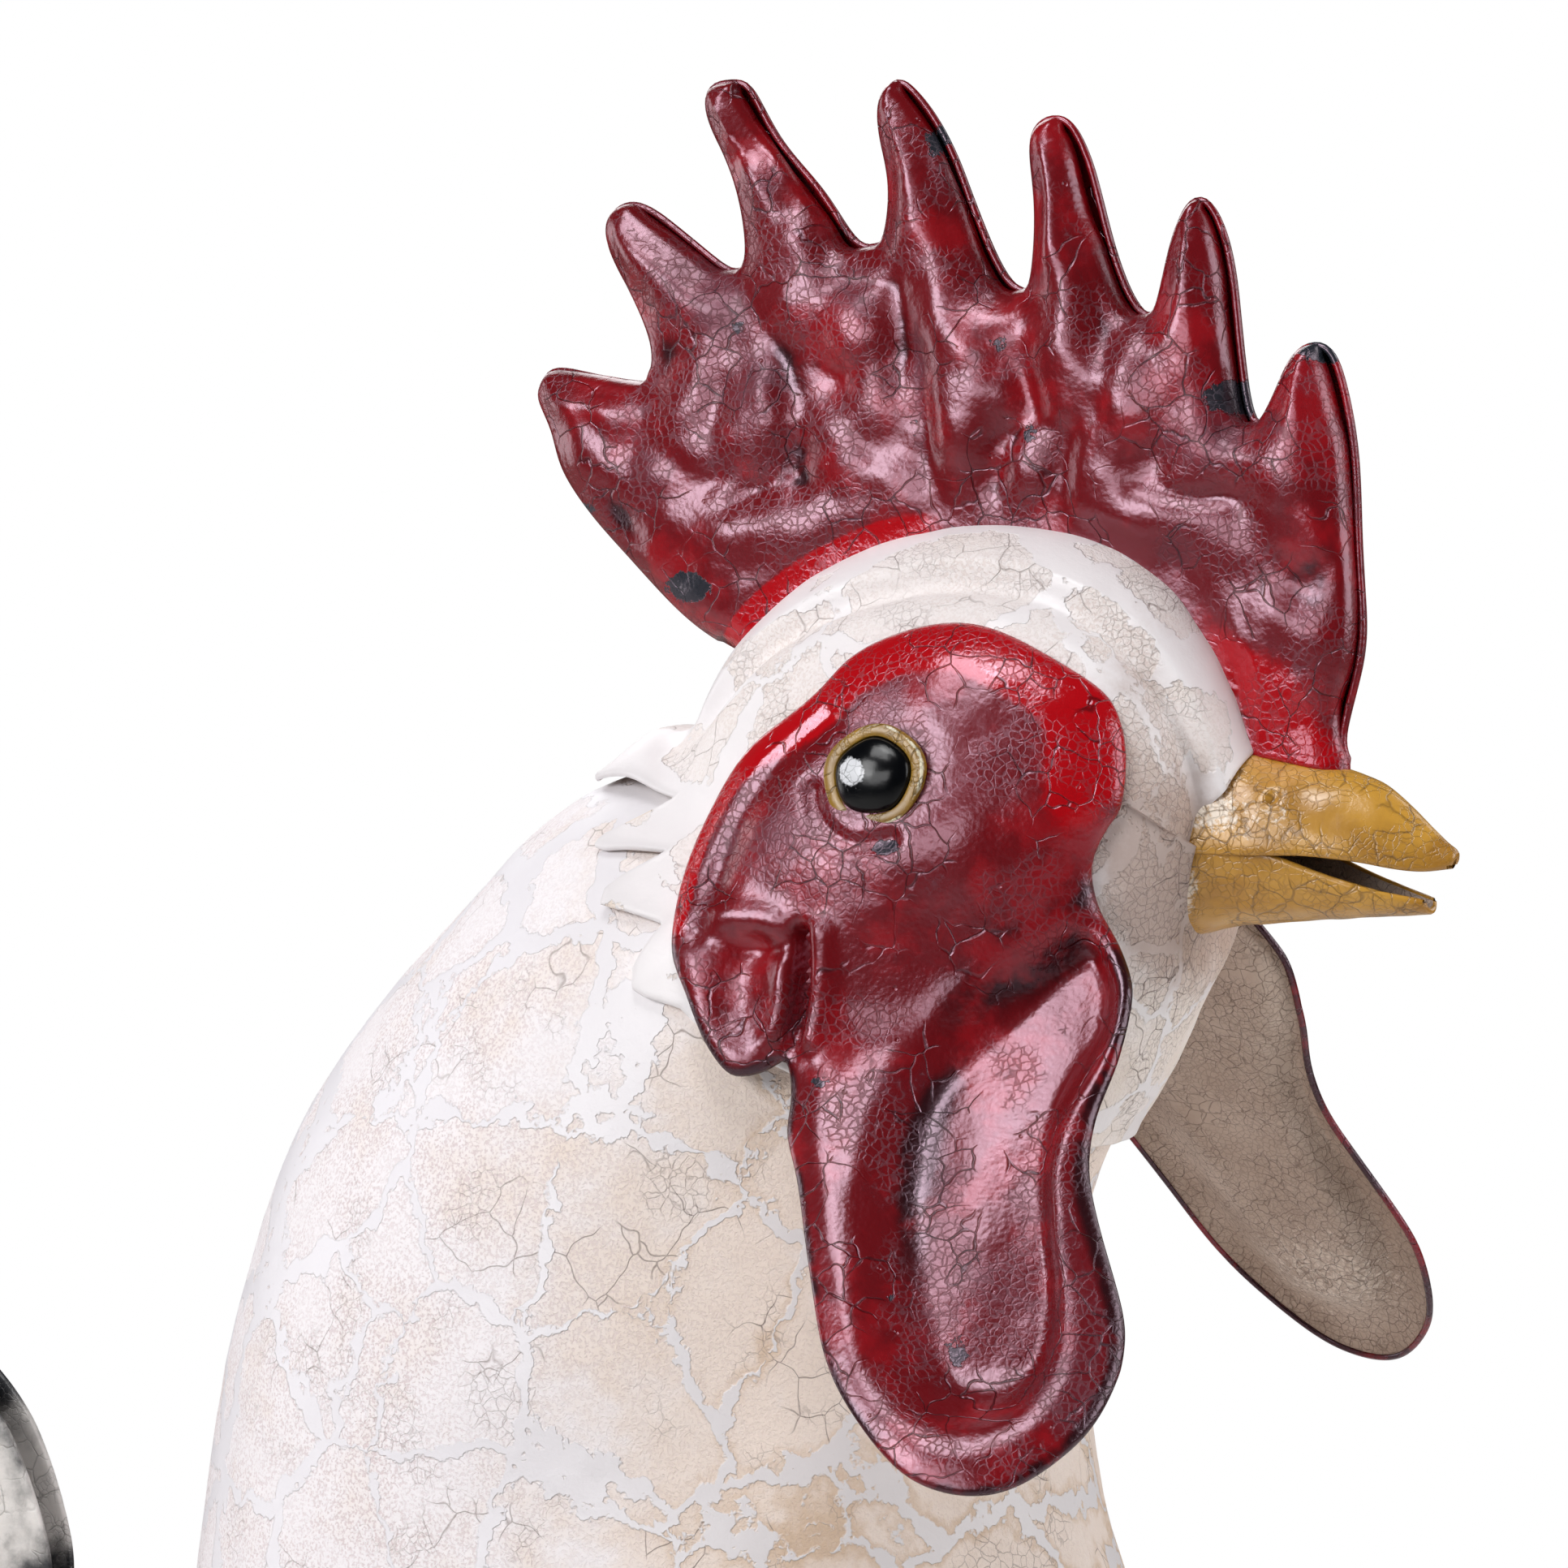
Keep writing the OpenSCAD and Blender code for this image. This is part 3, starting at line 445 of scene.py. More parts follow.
class Pressing:
    """A sheet pressed from a flat blank: an outline in the side view filled with even points."""

    # distances of the bands of points that follow the outline, and the inner band's clearance in steps
    bands: tuple[float, ...] = (0.35, 0.8, 1.4, 2.2)
    clear: float = 0.6

    def __init__(self, outline: np.ndarray, step: float) -> None:
        """Fill the outline with a triangular net of points and join them.

        Args:
            outline: points round the blank, as x and height.
            step: the distance between two points of the net.
        """
        low, high = outline.min(0), outline.max(0)
        rows = np.arange(low[1], high[1], step * 0.866)
        cols = np.arange(low[0], high[0], step)
        x, z = np.meshgrid(cols, rows)
        x = x + (np.arange(len(rows)) % 2)[:, None] * step / 2
        net = join(x.ravel(), z.ravel())
        along = np.roll(outline, -1, 0) - np.roll(outline, 1, 0)
        across = unit(join(-along[:, 1], along[:, 0]))
        across = across * (1.0 if depth_in(outline + across * 0.3, outline).mean() > 0 else -1.0)
        bands = [(outline + across * off, off) for off in self.bands]
        bands = [b[depth_in(b, outline) > off * 0.93] for b, off in bands]
        net = net[depth_in(net, outline) > self.bands[-1] + step * self.clear]
        every = np.concatenate([outline, *bands, net])
        got = delaunay_2d_cdt(every.tolist(), [], [list(range(len(outline)))], 1, 1e-6)
        self.flat = np.array([tuple(v) for v in got[0]])
        self.tris = np.array([list(f) for f in got[2]])
        where = np.zeros(len(every), int)
        for k, source in enumerate(got[3]):
            where[source] = k
        self.ring = where[:len(outline)]

    def normals(self, p: np.ndarray) -> np.ndarray:
        """Return the direction of the surface at each point: the sum over its triangles, turned to plus Y."""
        a, b, c = (p[self.tris[:, k]] for k in range(3))
        n = np.cross(b - a, c - a)
        out = np.zeros_like(p)
        for k in range(3):
            np.add.at(out, self.tris[:, k], n)
        out = unit(out)
        return out * np.where(out[:, 1:2] < 0, -1.0, 1.0)

    def shape(self, height: np.ndarray, thick: float, parts: tuple[int, int, int],
              **marks: np.ndarray | float) -> Shape:
        """Return the sheet whose outer face has Y equal to height, with its edge rounded."""
        marks = {k: np.broadcast_to(v, height.shape) for k, v in marks.items()}
        outer = join(self.flat[:, 0], height, self.flat[:, 1])
        normals = self.normals(outer)
        normals[self.ring] = unit(sum(np.roll(normals[self.ring], k, 0) for k in range(-2, 3)))
        inner = outer - normals * thick
        s = Shape()
        quads = np.concatenate([self.tris, self.tris[:, 2:]], 1)
        s.add(outer, quads, parts[0], marks)
        s.add(inner, quads[:, ::-1], parts[1], marks)
        ring = outer[self.ring]
        along = np.roll(ring, -1, 0) - np.roll(ring, 1, 0)
        away = np.cross(normals[self.ring], along)
        middle = self.flat.mean(0)
        area = np.cross(self.flat[self.ring] - middle, np.roll(self.flat[self.ring], -1, 0) - middle).sum()
        away = away * (1.0 if area > 0 else -1.0)
        a, b, c = self.flat[self.tris[0]]
        turn = float(np.cross(b - a, c - a)) * area > 0
        s.rim(ring, inner[self.ring], away, parts[2], True, turn, **{k: v[self.ring] for k, v in marks.items()})
        return s


# ---------------------------------------------------------------- finishes


def linear(code: str) -> tuple[float, float, float, float]:
    """Turn an sRGB hex colour into the linear values that the shader takes."""
    rgb = [int(code[k:k + 2], 16) / 255 for k in (1, 3, 5)]
    return tuple(c / 12.92 if c <= 0.04045 else ((c + 0.055) / 1.055) ** 2.4 for c in rgb) + (1.0,)


def add(tree: bpy.types.NodeTree, kind: str, inputs: dict | None = None, out: int | str = 0,
        **settings: object) -> bpy.types.NodeSocket:
    """Add one node, set it up, fill or link its inputs and return one of its outputs."""
    n = tree.nodes.new("ShaderNode" + kind)
    for key, value in settings.items():
        setattr(n, key, value)
    for key, value in (inputs or {}).items():
        if isinstance(value, bpy.types.NodeSocket):
            tree.links.new(value, n.inputs[key])
        else:
            n.inputs[key].default_value = value
    return n.outputs[out]


# settings that many nodes share: a smooth step, the sum of a product and a colour blend
SMOOTH = {"interpolation_type": "SMOOTHSTEP"}
SUM = {"operation": "MULTIPLY_ADD"}
PRODUCT = {"operation": "MULTIPLY"}
BLEND = {"data_type": "RGBA"}


@dataclass(frozen=True)
class Crackle:
    """Cracks of a brittle paint: a net of cells that shows only in places.

    The net is the distance to the edge of warped random cells; a smooth noise says where it shows.
    Cell, line and blob are sizes in millimetres.
    """

    cell: float
    line: float
    blob: float
    shows: float
    seed: float = 0.0

    def lines(self, tree: bpy.types.NodeTree, co: bpy.types.NodeSocket,
              more: bpy.types.NodeSocket | None = None) -> bpy.types.NodeSocket:
        """Return a mask that is 1 in the cracks.

        Args:
            tree: the material's nodes.
            co: object coordinates in metres.
            more: a value that makes the cracks show where it is high.
        """
        bend = add(tree, "TexNoise", {"Vector": co, "Scale": 0.8 / (self.cell * MM), "Detail": 2.0}, 1)
        push = add(tree, "VectorMath", {0: bend, 3: self.cell * MM * 0.9}, operation="SCALE")
        at = add(tree, "VectorMath", {0: co, 1: push}, operation="ADD")
        at = add(tree, "VectorMath", {0: at, 1: (self.seed, self.seed * 0.7, 0.0)}, operation="ADD")
        edge = add(tree, "TexVoronoi", {"Vector": at, "Scale": 1 / (self.cell * MM)}, feature="DISTANCE_TO_EDGE")
        net = add(tree, "MapRange", {0: edge, 1: 0.0, 2: self.line / self.cell, 3: 1.0, 4: 0.0}, **SMOOTH)
        where = add(tree, "TexNoise", {"Vector": at, "Scale": 1 / (self.blob * MM), "Detail": 1.5})
        if more is not None:
            where = add(tree, "Math", {0: more, 1: 0.5, 2: where}, **SUM)
        least = 0.62 - 0.3 * self.shows
        shown = add(tree, "MapRange", {0: where, 1: least, 2: least + 0.1}, **SMOOTH)
        return add(tree, "Math", {0: net, 1: shown}, **PRODUCT)


class Paint:
    """What every paint of the bird shares: how its material starts and what goes into its shader."""

    name: str

    def start(self, *names: str) -> tuple[bpy.types.Material, bpy.types.NodeSocket, dict[str, bpy.types.NodeSocket]]:
        """Return a new material, its object coordinates and the piece's marks of the given names."""
        mat = bpy.data.materials.new(self.name)
        mat.use_nodes = True
        t = mat.node_tree
        marks = {k: add(t, "Attribute", None, "Fac", attribute_name=k) for k in names}
        return mat, add(t, "TexCoord", None, "Object"), marks

    def dress(self, mat: bpy.types.Material, links: dict[str, bpy.types.NodeSocket], depth: float, strength: float,
              **values: float | tuple) -> bpy.types.Material:
        """Fill the shader and return the material.

        Args:
            mat: the material.
            links: sockets by the name of the shader's input; Normal takes a height.
            depth: the bump's depth in millimetres.
            strength: the bump's strength.
            values: fixed values by the name of the input, with a line for each space.
        """
        t = mat.node_tree
        shader = t.nodes["Principled BSDF"]
        bump = {"Height": links["Normal"], "Strength": strength, "Distance": depth * MM}
        for key, socket in {**links, "Normal": add(t, "Bump", bump)}.items():
            t.links.new(socket, shader.inputs[key])
        for key, value in values.items():
            shader.inputs[key.replace("_", " ")].default_value = value
        return mat


@dataclass(frozen=True)
class Lacquer(Paint):
    """Gloss lacquer over primer on pressed iron, crackled, with dusting on top and with paint pooling and painted
    shade in the hollows.

    To the eye it is a deep crimson with a soft pale reflection, dull mauve patches that are partly dusting and partly
    a painted sheen, and a clearer red where the coat is thick.
    """

    name: str = "crimson crackle lacquer"
    deep: str = "#6c040b"
    # darkest red, for the hollows of the relief: paint pooling and painted shade
    pooled_shade: str = "#280104"
    # dull mauve of dusting and matt paint, also laid on as a painted sheen on the face plate
    dusty: str = "#531421"
    clear: str = "#980913"
    bright: str = "#b2040f"
    chip: str = "#23282f"
    crack: str = "#2c060c"
    sheen: str = "#fcd9f0"
    rough: float = 0.25
    large: Crackle = Crackle(6.5, 0.2, 14.0, 0.55)
    fine: Crackle = Crackle(1.5, 0.2, 16.0, 0.5, 3.0)

    def material(self) -> bpy.types.Material:
        """Build the material from noise, cracks and the piece's marks."""
        mat, co, marks = self.start("bright", "chip", "dust", "hollow")
        t = mat.node_tree
        # size in millimetres, detail and roughness of each noise
        cloud, speck, fresh, grain, soft = (
            add(t, "TexNoise", {"Vector": co, "Scale": 1 / (size * MM), "Detail": detail, "Roughness": rough})
            for size, detail, rough in (
                (11, 5.0, 0.62), (1.6, 3.0, 0.7), (17, 4.0, 0.65), (0.8, 3.0, 0.5), (3.2, 2.0, 0.5)))
        pits = add(t, "TexVoronoi", {"Vector": co, "Scale": 1 / (7 * MM)})
        # dusting and painted sheen: dull mauve where cloud noise, specks and the mark are high, less in the hollows
        veil = cloud
        for value, share in ((marks["dust"], 0.55), (marks["hollow"], -0.35), (speck, 0.25)):
            veil = add(t, "Math", {0: value, 1: share, 2: veil}, **SUM)
        dust = add(t, "MapRange", {0: veil, 1: 0.72, 2: 1.15}, **SMOOTH)
        half = add(t, "Math", {0: dust, 1: 0.5}, **PRODUCT)
        big = self.large.lines(t, co)
        small = self.fine.lines(t, co, dust)
        # paint pooling and painted shade: the deep red turns darkest in the hollows of the relief, in clouds
        sunk_shade = add(t, "Math", {0: cloud, 1: 0.8, 2: marks["hollow"]}, **SUM)
        sunk_shade = add(t, "MapRange", {0: sunk_shade, 1: 0.42, 2: 1.0}, **SMOOTH)
        fresh = add(t, "MapRange", {0: fresh, 1: 0.48, 2: 0.64, 4: 0.75}, **SMOOTH)
        glow = add(t, "Math", {0: speck, 1: 0.35, 2: marks["bright"]}, **SUM)
        glow = add(t, "MapRange", {0: glow, 1: 0.5, 2: 0.8}, **SMOOTH)
        dark = add(t, "Math", {0: small, 1: 0.45, 2: big}, **SUM)
        dark = add(t, "Math", {0: dark, 1: 0.7}, use_clamp=True, **PRODUCT)
        flake = add(t, "Math", {0: speck, 1: 0.7, 2: marks["chip"]}, **SUM)
        flake = add(t, "MapRange", {0: flake, 1: 0.86, 2: 0.92}, **SMOOTH)
        base = add(t, "Mix", {0: sunk_shade, 6: linear(self.deep), 7: linear(self.pooled_shade)}, 2, **BLEND)
        for mask, colour in ((fresh, self.clear), (half, self.dusty), (glow, self.bright), (dark, self.crack),
                             (flake, self.chip)):
            base = add(t, "Mix", {0: mask, 6: base, 7: linear(colour)}, 2, **BLEND)
        dull = self.rough
        for value, share in ((dust, 0.16), (small, 0.3), (glow, -0.12)):
            dull = add(t, "Math", {0: value, 1: share, 2: dull}, **SUM)
        rise = add(t, "MapRange", {0: pits, 1: 0.03, 2: 0.08}, **SMOOTH)
        for value, share in ((grain, 0.3), (soft, 0.9), (big, -0.9), (small, -0.2), (flake, -0.8)):
            rise = add(t, "Math", {0: value, 1: share, 2: rise}, **SUM)
        return self.dress(mat, {"Base Color": base, "Roughness": dull, "Normal": rise}, 0.22, 0.8, IOR=1.62,
                          Specular_Tint=linear(self.sheen), Coat_Weight=0.12, Coat_Roughness=0.2)


@dataclass(frozen=True)
class Whitewash(Paint):
    """Thick white paint with stucco patches on sheet iron.

    To the eye it is a smooth bluish white ground with large matt patches, stippled and tinted beige,
    thin cracks inside them, tan stains that gather in places, and a greyish brown that is partly soiling and partly
    painted shade.
    """

    name: str = "stuccoed white paint"
    ground: str = "#ece8ed"
    vein: str = "#e0dbdd"
    patch: str = "#f5eff2"
    speck: str = "#cfb9bc"
    tint: str = "#ecdacd"
    stain: str = "#c8a682"
    crack: str = "#85736d"
    # greyish brown of soiling and of painted shade
    shade: str = "#a8978c"
    cell: float = 24.0
    rough: float = 0.45
    large: Crackle = Crackle(8.0, 0.15, 16.0, 0.34, 1.0)
    fine: Crackle = Crackle(2.2, 0.13, 15.0, 0.28, 5.0)

    def material(self) -> bpy.types.Material:
        """Build the material from patches, stipple, cracks and the piece's marks."""
        mat, co, marks = self.start("stain", "plain", "grime")
        t = mat.node_tree
        stain, plain, grime = marks.values()
        bend = add(t, "TexNoise", {"Vector": co, "Scale": 1 / (8 * MM), "Detail": 4.0, "Roughness": 0.6}, 1)
        push = add(t, "VectorMath", {0: bend, 3: 12 * MM}, operation="SCALE")
        at = add(t, "VectorMath", {0: co, 1: push}, operation="ADD")
        near = add(t, "TexVoronoi", {"Vector": at, "Scale": 1 / (self.cell * MM)}, feature="DISTANCE_TO_EDGE")
        # size in millimetres, detail and roughness of each noise
        wear, broad, stroke = (
            add(t, "TexNoise", {"Vector": co, "Scale": 1 / (size * MM), "Detail": detail, "Roughness": rough})
            for size, detail, rough in ((4, 4.0, 0.65), (22, 4.0, 0.6), (0.55, 2.0, 0.6)))
        for value, share in ((wear, 0.11), (broad, 0.22), (plain, -0.12)):
            near = add(t, "Math", {0: value, 1: share, 2: near}, **SUM)
        patch = add(t, "MapRange", {0: near, 1: 0.194, 2: 0.214}, **SMOOTH)
        dash = add(t, "MapRange", {0: stroke, 1: 0.46, 2: 0.62}, **SMOOTH)
        dash = add(t, "Math", {0: dash, 1: patch}, **PRODUCT)
        warm = add(t, "Math", {0: stain, 1: 0.55, 2: broad}, **SUM)
        warm = add(t, "Math", {0: wear, 1: 0.3, 2: warm}, **SUM)
        tan = add(t, "MapRange", {0: warm, 1: 0.62, 2: 1.1, 4: 0.85}, **SMOOTH)
        tan = add(t, "Math", {0: tan, 1: patch}, **PRODUCT)
        ring = add(t, "MapRange", {0: near, 1: 0.2, 2: 0.3, 3: 0.35, 4: 0.0}, **SMOOTH)
        deep = add(t, "Math", {0: ring, 1: stain, 2: warm}, **SUM)
        deep = add(t, "MapRange", {0: deep, 1: 1.12, 2: 1.65, 4: 0.68}, **SMOOTH)
        deep = add(t, "Math", {0: deep, 1: patch}, **PRODUCT)
        bare = add(t, "Math", {0: plain, 1: 0.5, 2: stain}, **SUM)
        bare = add(t, "MapRange", {0: bare, 1: 0.0, 2: 0.9, 3: 0.62, 4: 0.08})
        thick = add(t, "MapRange", {0: broad, 1: 0.35, 2: 0.6, 3: 0.3, 4: 1.0}, **SMOOTH)
        soft = add(t, "Math", {0: dash, 1: bare}, **PRODUCT)
        soft = add(t, "Math", {0: soft, 1: thick}, **PRODUCT)
        # soiling and painted shade: greyish brown where wear noise and the piece's mark are high; the same mark
        # darkens the cracks
        dirt_and_shade = add(t, "Math", {0: wear, 1: 0.7, 2: grime}, **SUM)
        dirt_and_shade = add(t, "MapRange", {0: dirt_and_shade, 1: 0.5, 2: 1.25, 4: 0.6}, **SMOOTH)
        line = add(t, "Math", {0: self.fine.lines(t, co, grime), 1: 0.6, 2: self.large.lines(t, co)}, **SUM)
        line = add(t, "Math", {0: line, 1: patch}, **PRODUCT)
        thin = add(t, "Math", {0: stain, 1: 0.35, 2: 0.45}, **SUM)
        thin = add(t, "Math", {0: grime, 1: 0.35, 2: thin}, **SUM)
        thin = add(t, "Math", {0: line, 1: thin}, use_clamp=True, **PRODUCT)
        base = add(t, "Mix", {0: stain, 6: linear(self.ground), 7: linear(self.vein)}, 2, **BLEND)
        for mask, colour in ((patch, self.patch), (tan, self.tint), (deep, self.stain), (soft, self.speck),
                             (dirt_and_shade, self.shade), (thin, self.crack)):
            base = add(t, "Mix", {0: mask, 6: base, 7: linear(colour)}, 2, **BLEND)
        dull = add(t, "Math", {0: patch, 1: 0.18, 2: self.rough}, **SUM)
        rise = wear
        for value, share in ((patch, -1.1), (dash, -0.3), (line, -0.7)):
            rise = add(t, "Math", {0: value, 1: share, 2: rise}, **SUM)
        return self.dress(mat, {"Base Color": base, "Roughness": dull, "Normal": rise}, 0.3, 0.7)


@dataclass(frozen=True)
class Enamel(Paint):
    """Brushed or dipped paint in two tones, worn and crackled; it serves beak, legs, backs and tail.

    To the eye it is one colour with a darker second tone in clouds or strokes, and the undercoat
    where the piece's worn mark is high; on the pupil this pale third colour is a painted highlight.
    """

    name: str
    first: str
    second: str
    under: str
    crack: str
    rough: float = 0.4
    coat: float = 0.0
    cloud: float = 9.0
    stroke: tuple[float, float, float] = (1.0, 1.0, 1.0)
    large: Crackle = Crackle(5.0, 0.25, 12.0, 0.5, 2.0)
    fine: Crackle = Crackle(1.4, 0.18, 10.0, 0.5, 4.0)
    dark: float = 0.55
    bumps: float = 0.16
    ior: float = 1.5

    def material(self) -> bpy.types.Material:
        """Build the material from clouds, cracks and the piece's marks."""
        mat, co, marks = self.start("worn", "tone")
        t = mat.node_tree
        worn, tone = marks.values()
        drawn = add(t, "VectorMath", {0: co, 1: self.stroke}, **PRODUCT)
        cloud = add(t, "TexNoise", {"Vector": drawn, "Scale": 1 / (self.cloud * MM), "Detail": 5.0, "Roughness": 0.62})
        speck = add(t, "TexNoise", {"Vector": drawn, "Scale": 1 / (1.2 * MM), "Detail": 3.0, "Roughness": 0.65})
        amount = add(t, "Math", {0: tone, 1: 0.8, 2: cloud}, **SUM)
        amount = add(t, "MapRange", {0: amount, 1: 0.42, 2: 0.95}, **SMOOTH)
        bare = add(t, "Math", {0: speck, 1: 0.8, 2: worn}, **SUM)
        bare = add(t, "MapRange", {0: bare, 1: 0.74, 2: 0.94}, **SMOOTH)
        line = add(t, "Math", {0: self.fine.lines(t, co, worn), 1: 0.6, 2: self.large.lines(t, co, worn)}, **SUM)
        thin = add(t, "Math", {0: line, 1: self.dark}, use_clamp=True, **PRODUCT)
        base = add(t, "Mix", {0: amount, 6: linear(self.first), 7: linear(self.second)}, 2, **BLEND)
        for mask, colour in ((bare, self.under), (thin, self.crack)):
            base = add(t, "Mix", {0: mask, 6: base, 7: linear(colour)}, 2, **BLEND)
        dull = add(t, "Math", {0: cloud, 1: 0.2, 2: self.rough - 0.1}, **SUM)
        rise = add(t, "Math", {0: speck, 1: 0.4, 2: cloud}, **SUM)
        rise = add(t, "Math", {0: line, 1: -0.8, 2: rise}, **SUM)
        return self.dress(mat, {"Base Color": base, "Roughness": dull, "Normal": rise}, self.bumps, 0.8,
                          IOR=self.ior, Coat_Weight=self.coat, Coat_Roughness=0.15)


class Paints:
    """The paints of the bird, each built once."""

    def __init__(self) -> None:
        """Build every material."""
        self.crimson = Lacquer().material()
        self.white = Whitewash().material()
        self.cream = Whitewash(
            name="crackled cream paint", ground="#efeaec", patch="#f0e8e7", speck="#dccbc6", tint="#e6d8cc",
            shade="#9b7158", cell=26.0, rough=0.42, large=Crackle(7.0, 0.17, 14.0, 0.5, 1.0),
            fine=Crackle(1.5, 0.14, 12.0, 0.45, 5.0)).material()
        self.ochre = Enamel(
            "mustard crackle enamel", "#cd983a", "#a87526", "#f2e2d0", "#6e4d1e", rough=0.3, coat=0.25,
            fine=Crackle(1.5, 0.16, 9.0, 0.55, 4.0)).material()
        self.taupe = Enamel(
            "taupe crackled primer", "#c9b5a7", "#ab9484", "#dfd0c4", "#7b675a", rough=0.5, cloud=16.0,
            large=Crackle(2.6, 0.13, 14.0, 0.8, 2.0), fine=Crackle(1.1, 0.12, 12.0, 0.8, 4.0)).material()
        # the pale third colour of the black enamel is the painted highlight on the pupil
        self.pupil = Enamel(
            "black gloss enamel", "#050609", "#0a0b0f", "#dcdde2", "#101114", rough=0.2, ior=1.32,
            large=Crackle(5.0, 0.15, 9.0, 0.1), fine=Crackle(1.4, 0.1, 9.0, 0.1), bumps=0.06).material()
        self.ring = Enamel(
            "ochre eye ring enamel", "#a87f1a", "#86621a", "#e6dcc0", "#4a3914", rough=0.36, coat=0.1,
            fine=Crackle(1.2, 0.2, 6.0, 0.5, 4.0)).material()
        self.tail = Enamel(
            "black paint brushed over white", "#e4dfdb", "#17191f", "#b59c7c", "#55504c", rough=0.45, cloud=3.2,
            stroke=(0.35, 1.0, 0.35), dark=0.3).material()
        self.legs = Enamel(
            "ochre leg enamel", "#a9802f", "#7b5a2a", "#5d4a38", "#4d381c", rough=0.42,
            fine=Crackle(1.8, 0.2, 9.0, 0.5, 4.0)).material()
        self.iron = Enamel(
            "rust brown primer on iron", "#4a3a33", "#2f2622", "#6d5648", "#1f1916", rough=0.7).material()


# ---------------------------------------------------------------- head


@dataclass
class Head:
    """The head of two pressed halves that meet on the middle line, with a cut collar over the neck."""

    rows: int = 150
    cols: int = 230
    # where the collar starts, and the share of the rows that lie before it
    collar_u: float = 5.6
    before: float = 0.8
    # the collar's end as phi and u: each tab starts with a tip and is cut level down to the next root
    collar_keys: tuple[tuple[float, float], ...] = (
        (0, 6.75), (8, 6.8), (12, 6.84), (18, 6.78), (43.2, 5.95), (44.6, 6.8), (46, 6.86), (48.5, 6.8), (57, 6.32),
        (59, 6.95), (61.5, 7.05), (64, 7.0), (72.5, 6.78), (76, 7.2), (79, 7.32), (82, 7.3), (88, 7.2), (92, 7.22),
        (110, 7.1), (140, 6.6), (169, 6.05), (180, 6.0))

    def collar(self, phi: np.ndarray) -> np.ndarray:
        """Return the end of the collar: straight stretches between the keys."""
        keys = np.array(self.collar_keys)
        return np.interp(phi, keys[:, 0], keys[:, 1])

    def from_comb(self, u: np.ndarray, phi: np.ndarray, y: np.ndarray) -> np.ndarray:
        """Return how far a point at y lies from the comb's foot, which narrows towards the beak."""
        foot = COMB_HALF * (1 - 0.5 * np.clip(1 - u / 6.2, 0, 1) ** 3) + 1.6
        return np.where(phi < 90, np.abs(y) - foot, 60.0)

    def offset(self, u: np.ndarray, phi: np.ndarray) -> np.ndarray:
        """Return the height over the skin: the collar's lap, the raised band by the comb and dents."""
        p = SKIN.base(u, phi)
        out = self.from_comb(u, phi, p[..., 1])
        band = 2.2 * ease(out, 7.8, 5.6) - 1.5 * bell(out - 8.6, 1.6) + 0.9 * bell(out - 13.5, 2.4)
        dents = 0.5 * DENTS.layers(p, 16.0, 2) + 0.12 * DENTS.at(p, 4.0)
        mane = 4.2 * bell(u - 6.3, 0.38) * ease(phi, 50, 12)
        return HEAD_OFF * ease(u, 0, 2) + ease(u, 5.9, 5.2) * band + mane + dents * ease(u, 0.2, 1.5)

    def build(self, paints: Paints) -> None:
        """Build both halves: rows along u with the last fifth of them over the tabs."""
        t = np.linspace(0, 1, self.rows)[:, None]
        # the columns are dense from 8 to 94 degrees, where the tabs are
        phi = np.interp(np.linspace(0, 1, self.cols), [0, 0.06, 0.7, 1], [0, 8, 94, 180])[None, :]
        last = (t - self.before) / (1 - self.before)
        on_tab = self.collar_u + (self.collar(phi) - self.collar_u) * last
        u = np.where(last < 0, self.collar_u * t / self.before, on_tab)
        u, phi = np.broadcast_arrays(u, phi)
        off = self.offset(u, phi) + 0.25 * ease(t, 0.9, 1.0) * (phi > 18)
        outer = SKIN.point(u, phi, off)
        flat = outer[..., ::2]
        out = self.from_comb(u, phi, outer[..., 1] + SEAM)
        stain = 0.5 * mound(flat, 12, 655, 8, 6, 1.0) + 0.45 * ease(phi, 120, 165)
        # soiling by the beak, and painted shadow along the face plate's front edge: both go in as the greyish brown of
        # the cream paint
        shape = half(outer, SKIN.point(u, phi, off - SHEET),
                     grime=mound(flat, 100, 624, 9, 22, 1.0, 0, 1.5) + mound(flat, 94, 656, 6, 18, 0.45),
                     plain=np.clip(1.2 * ease(out, 9.5, 7.5) + ease(u, 4.6, 5.6), 0, 1),
                     stain=stain + 0.7 * ease(t, 0.955, 1.0) * (phi > 18) * (phi < 90))
        shape.pair("head_shell_{}", "sheet", [paints.cream, paints.taupe], "cream_paint")


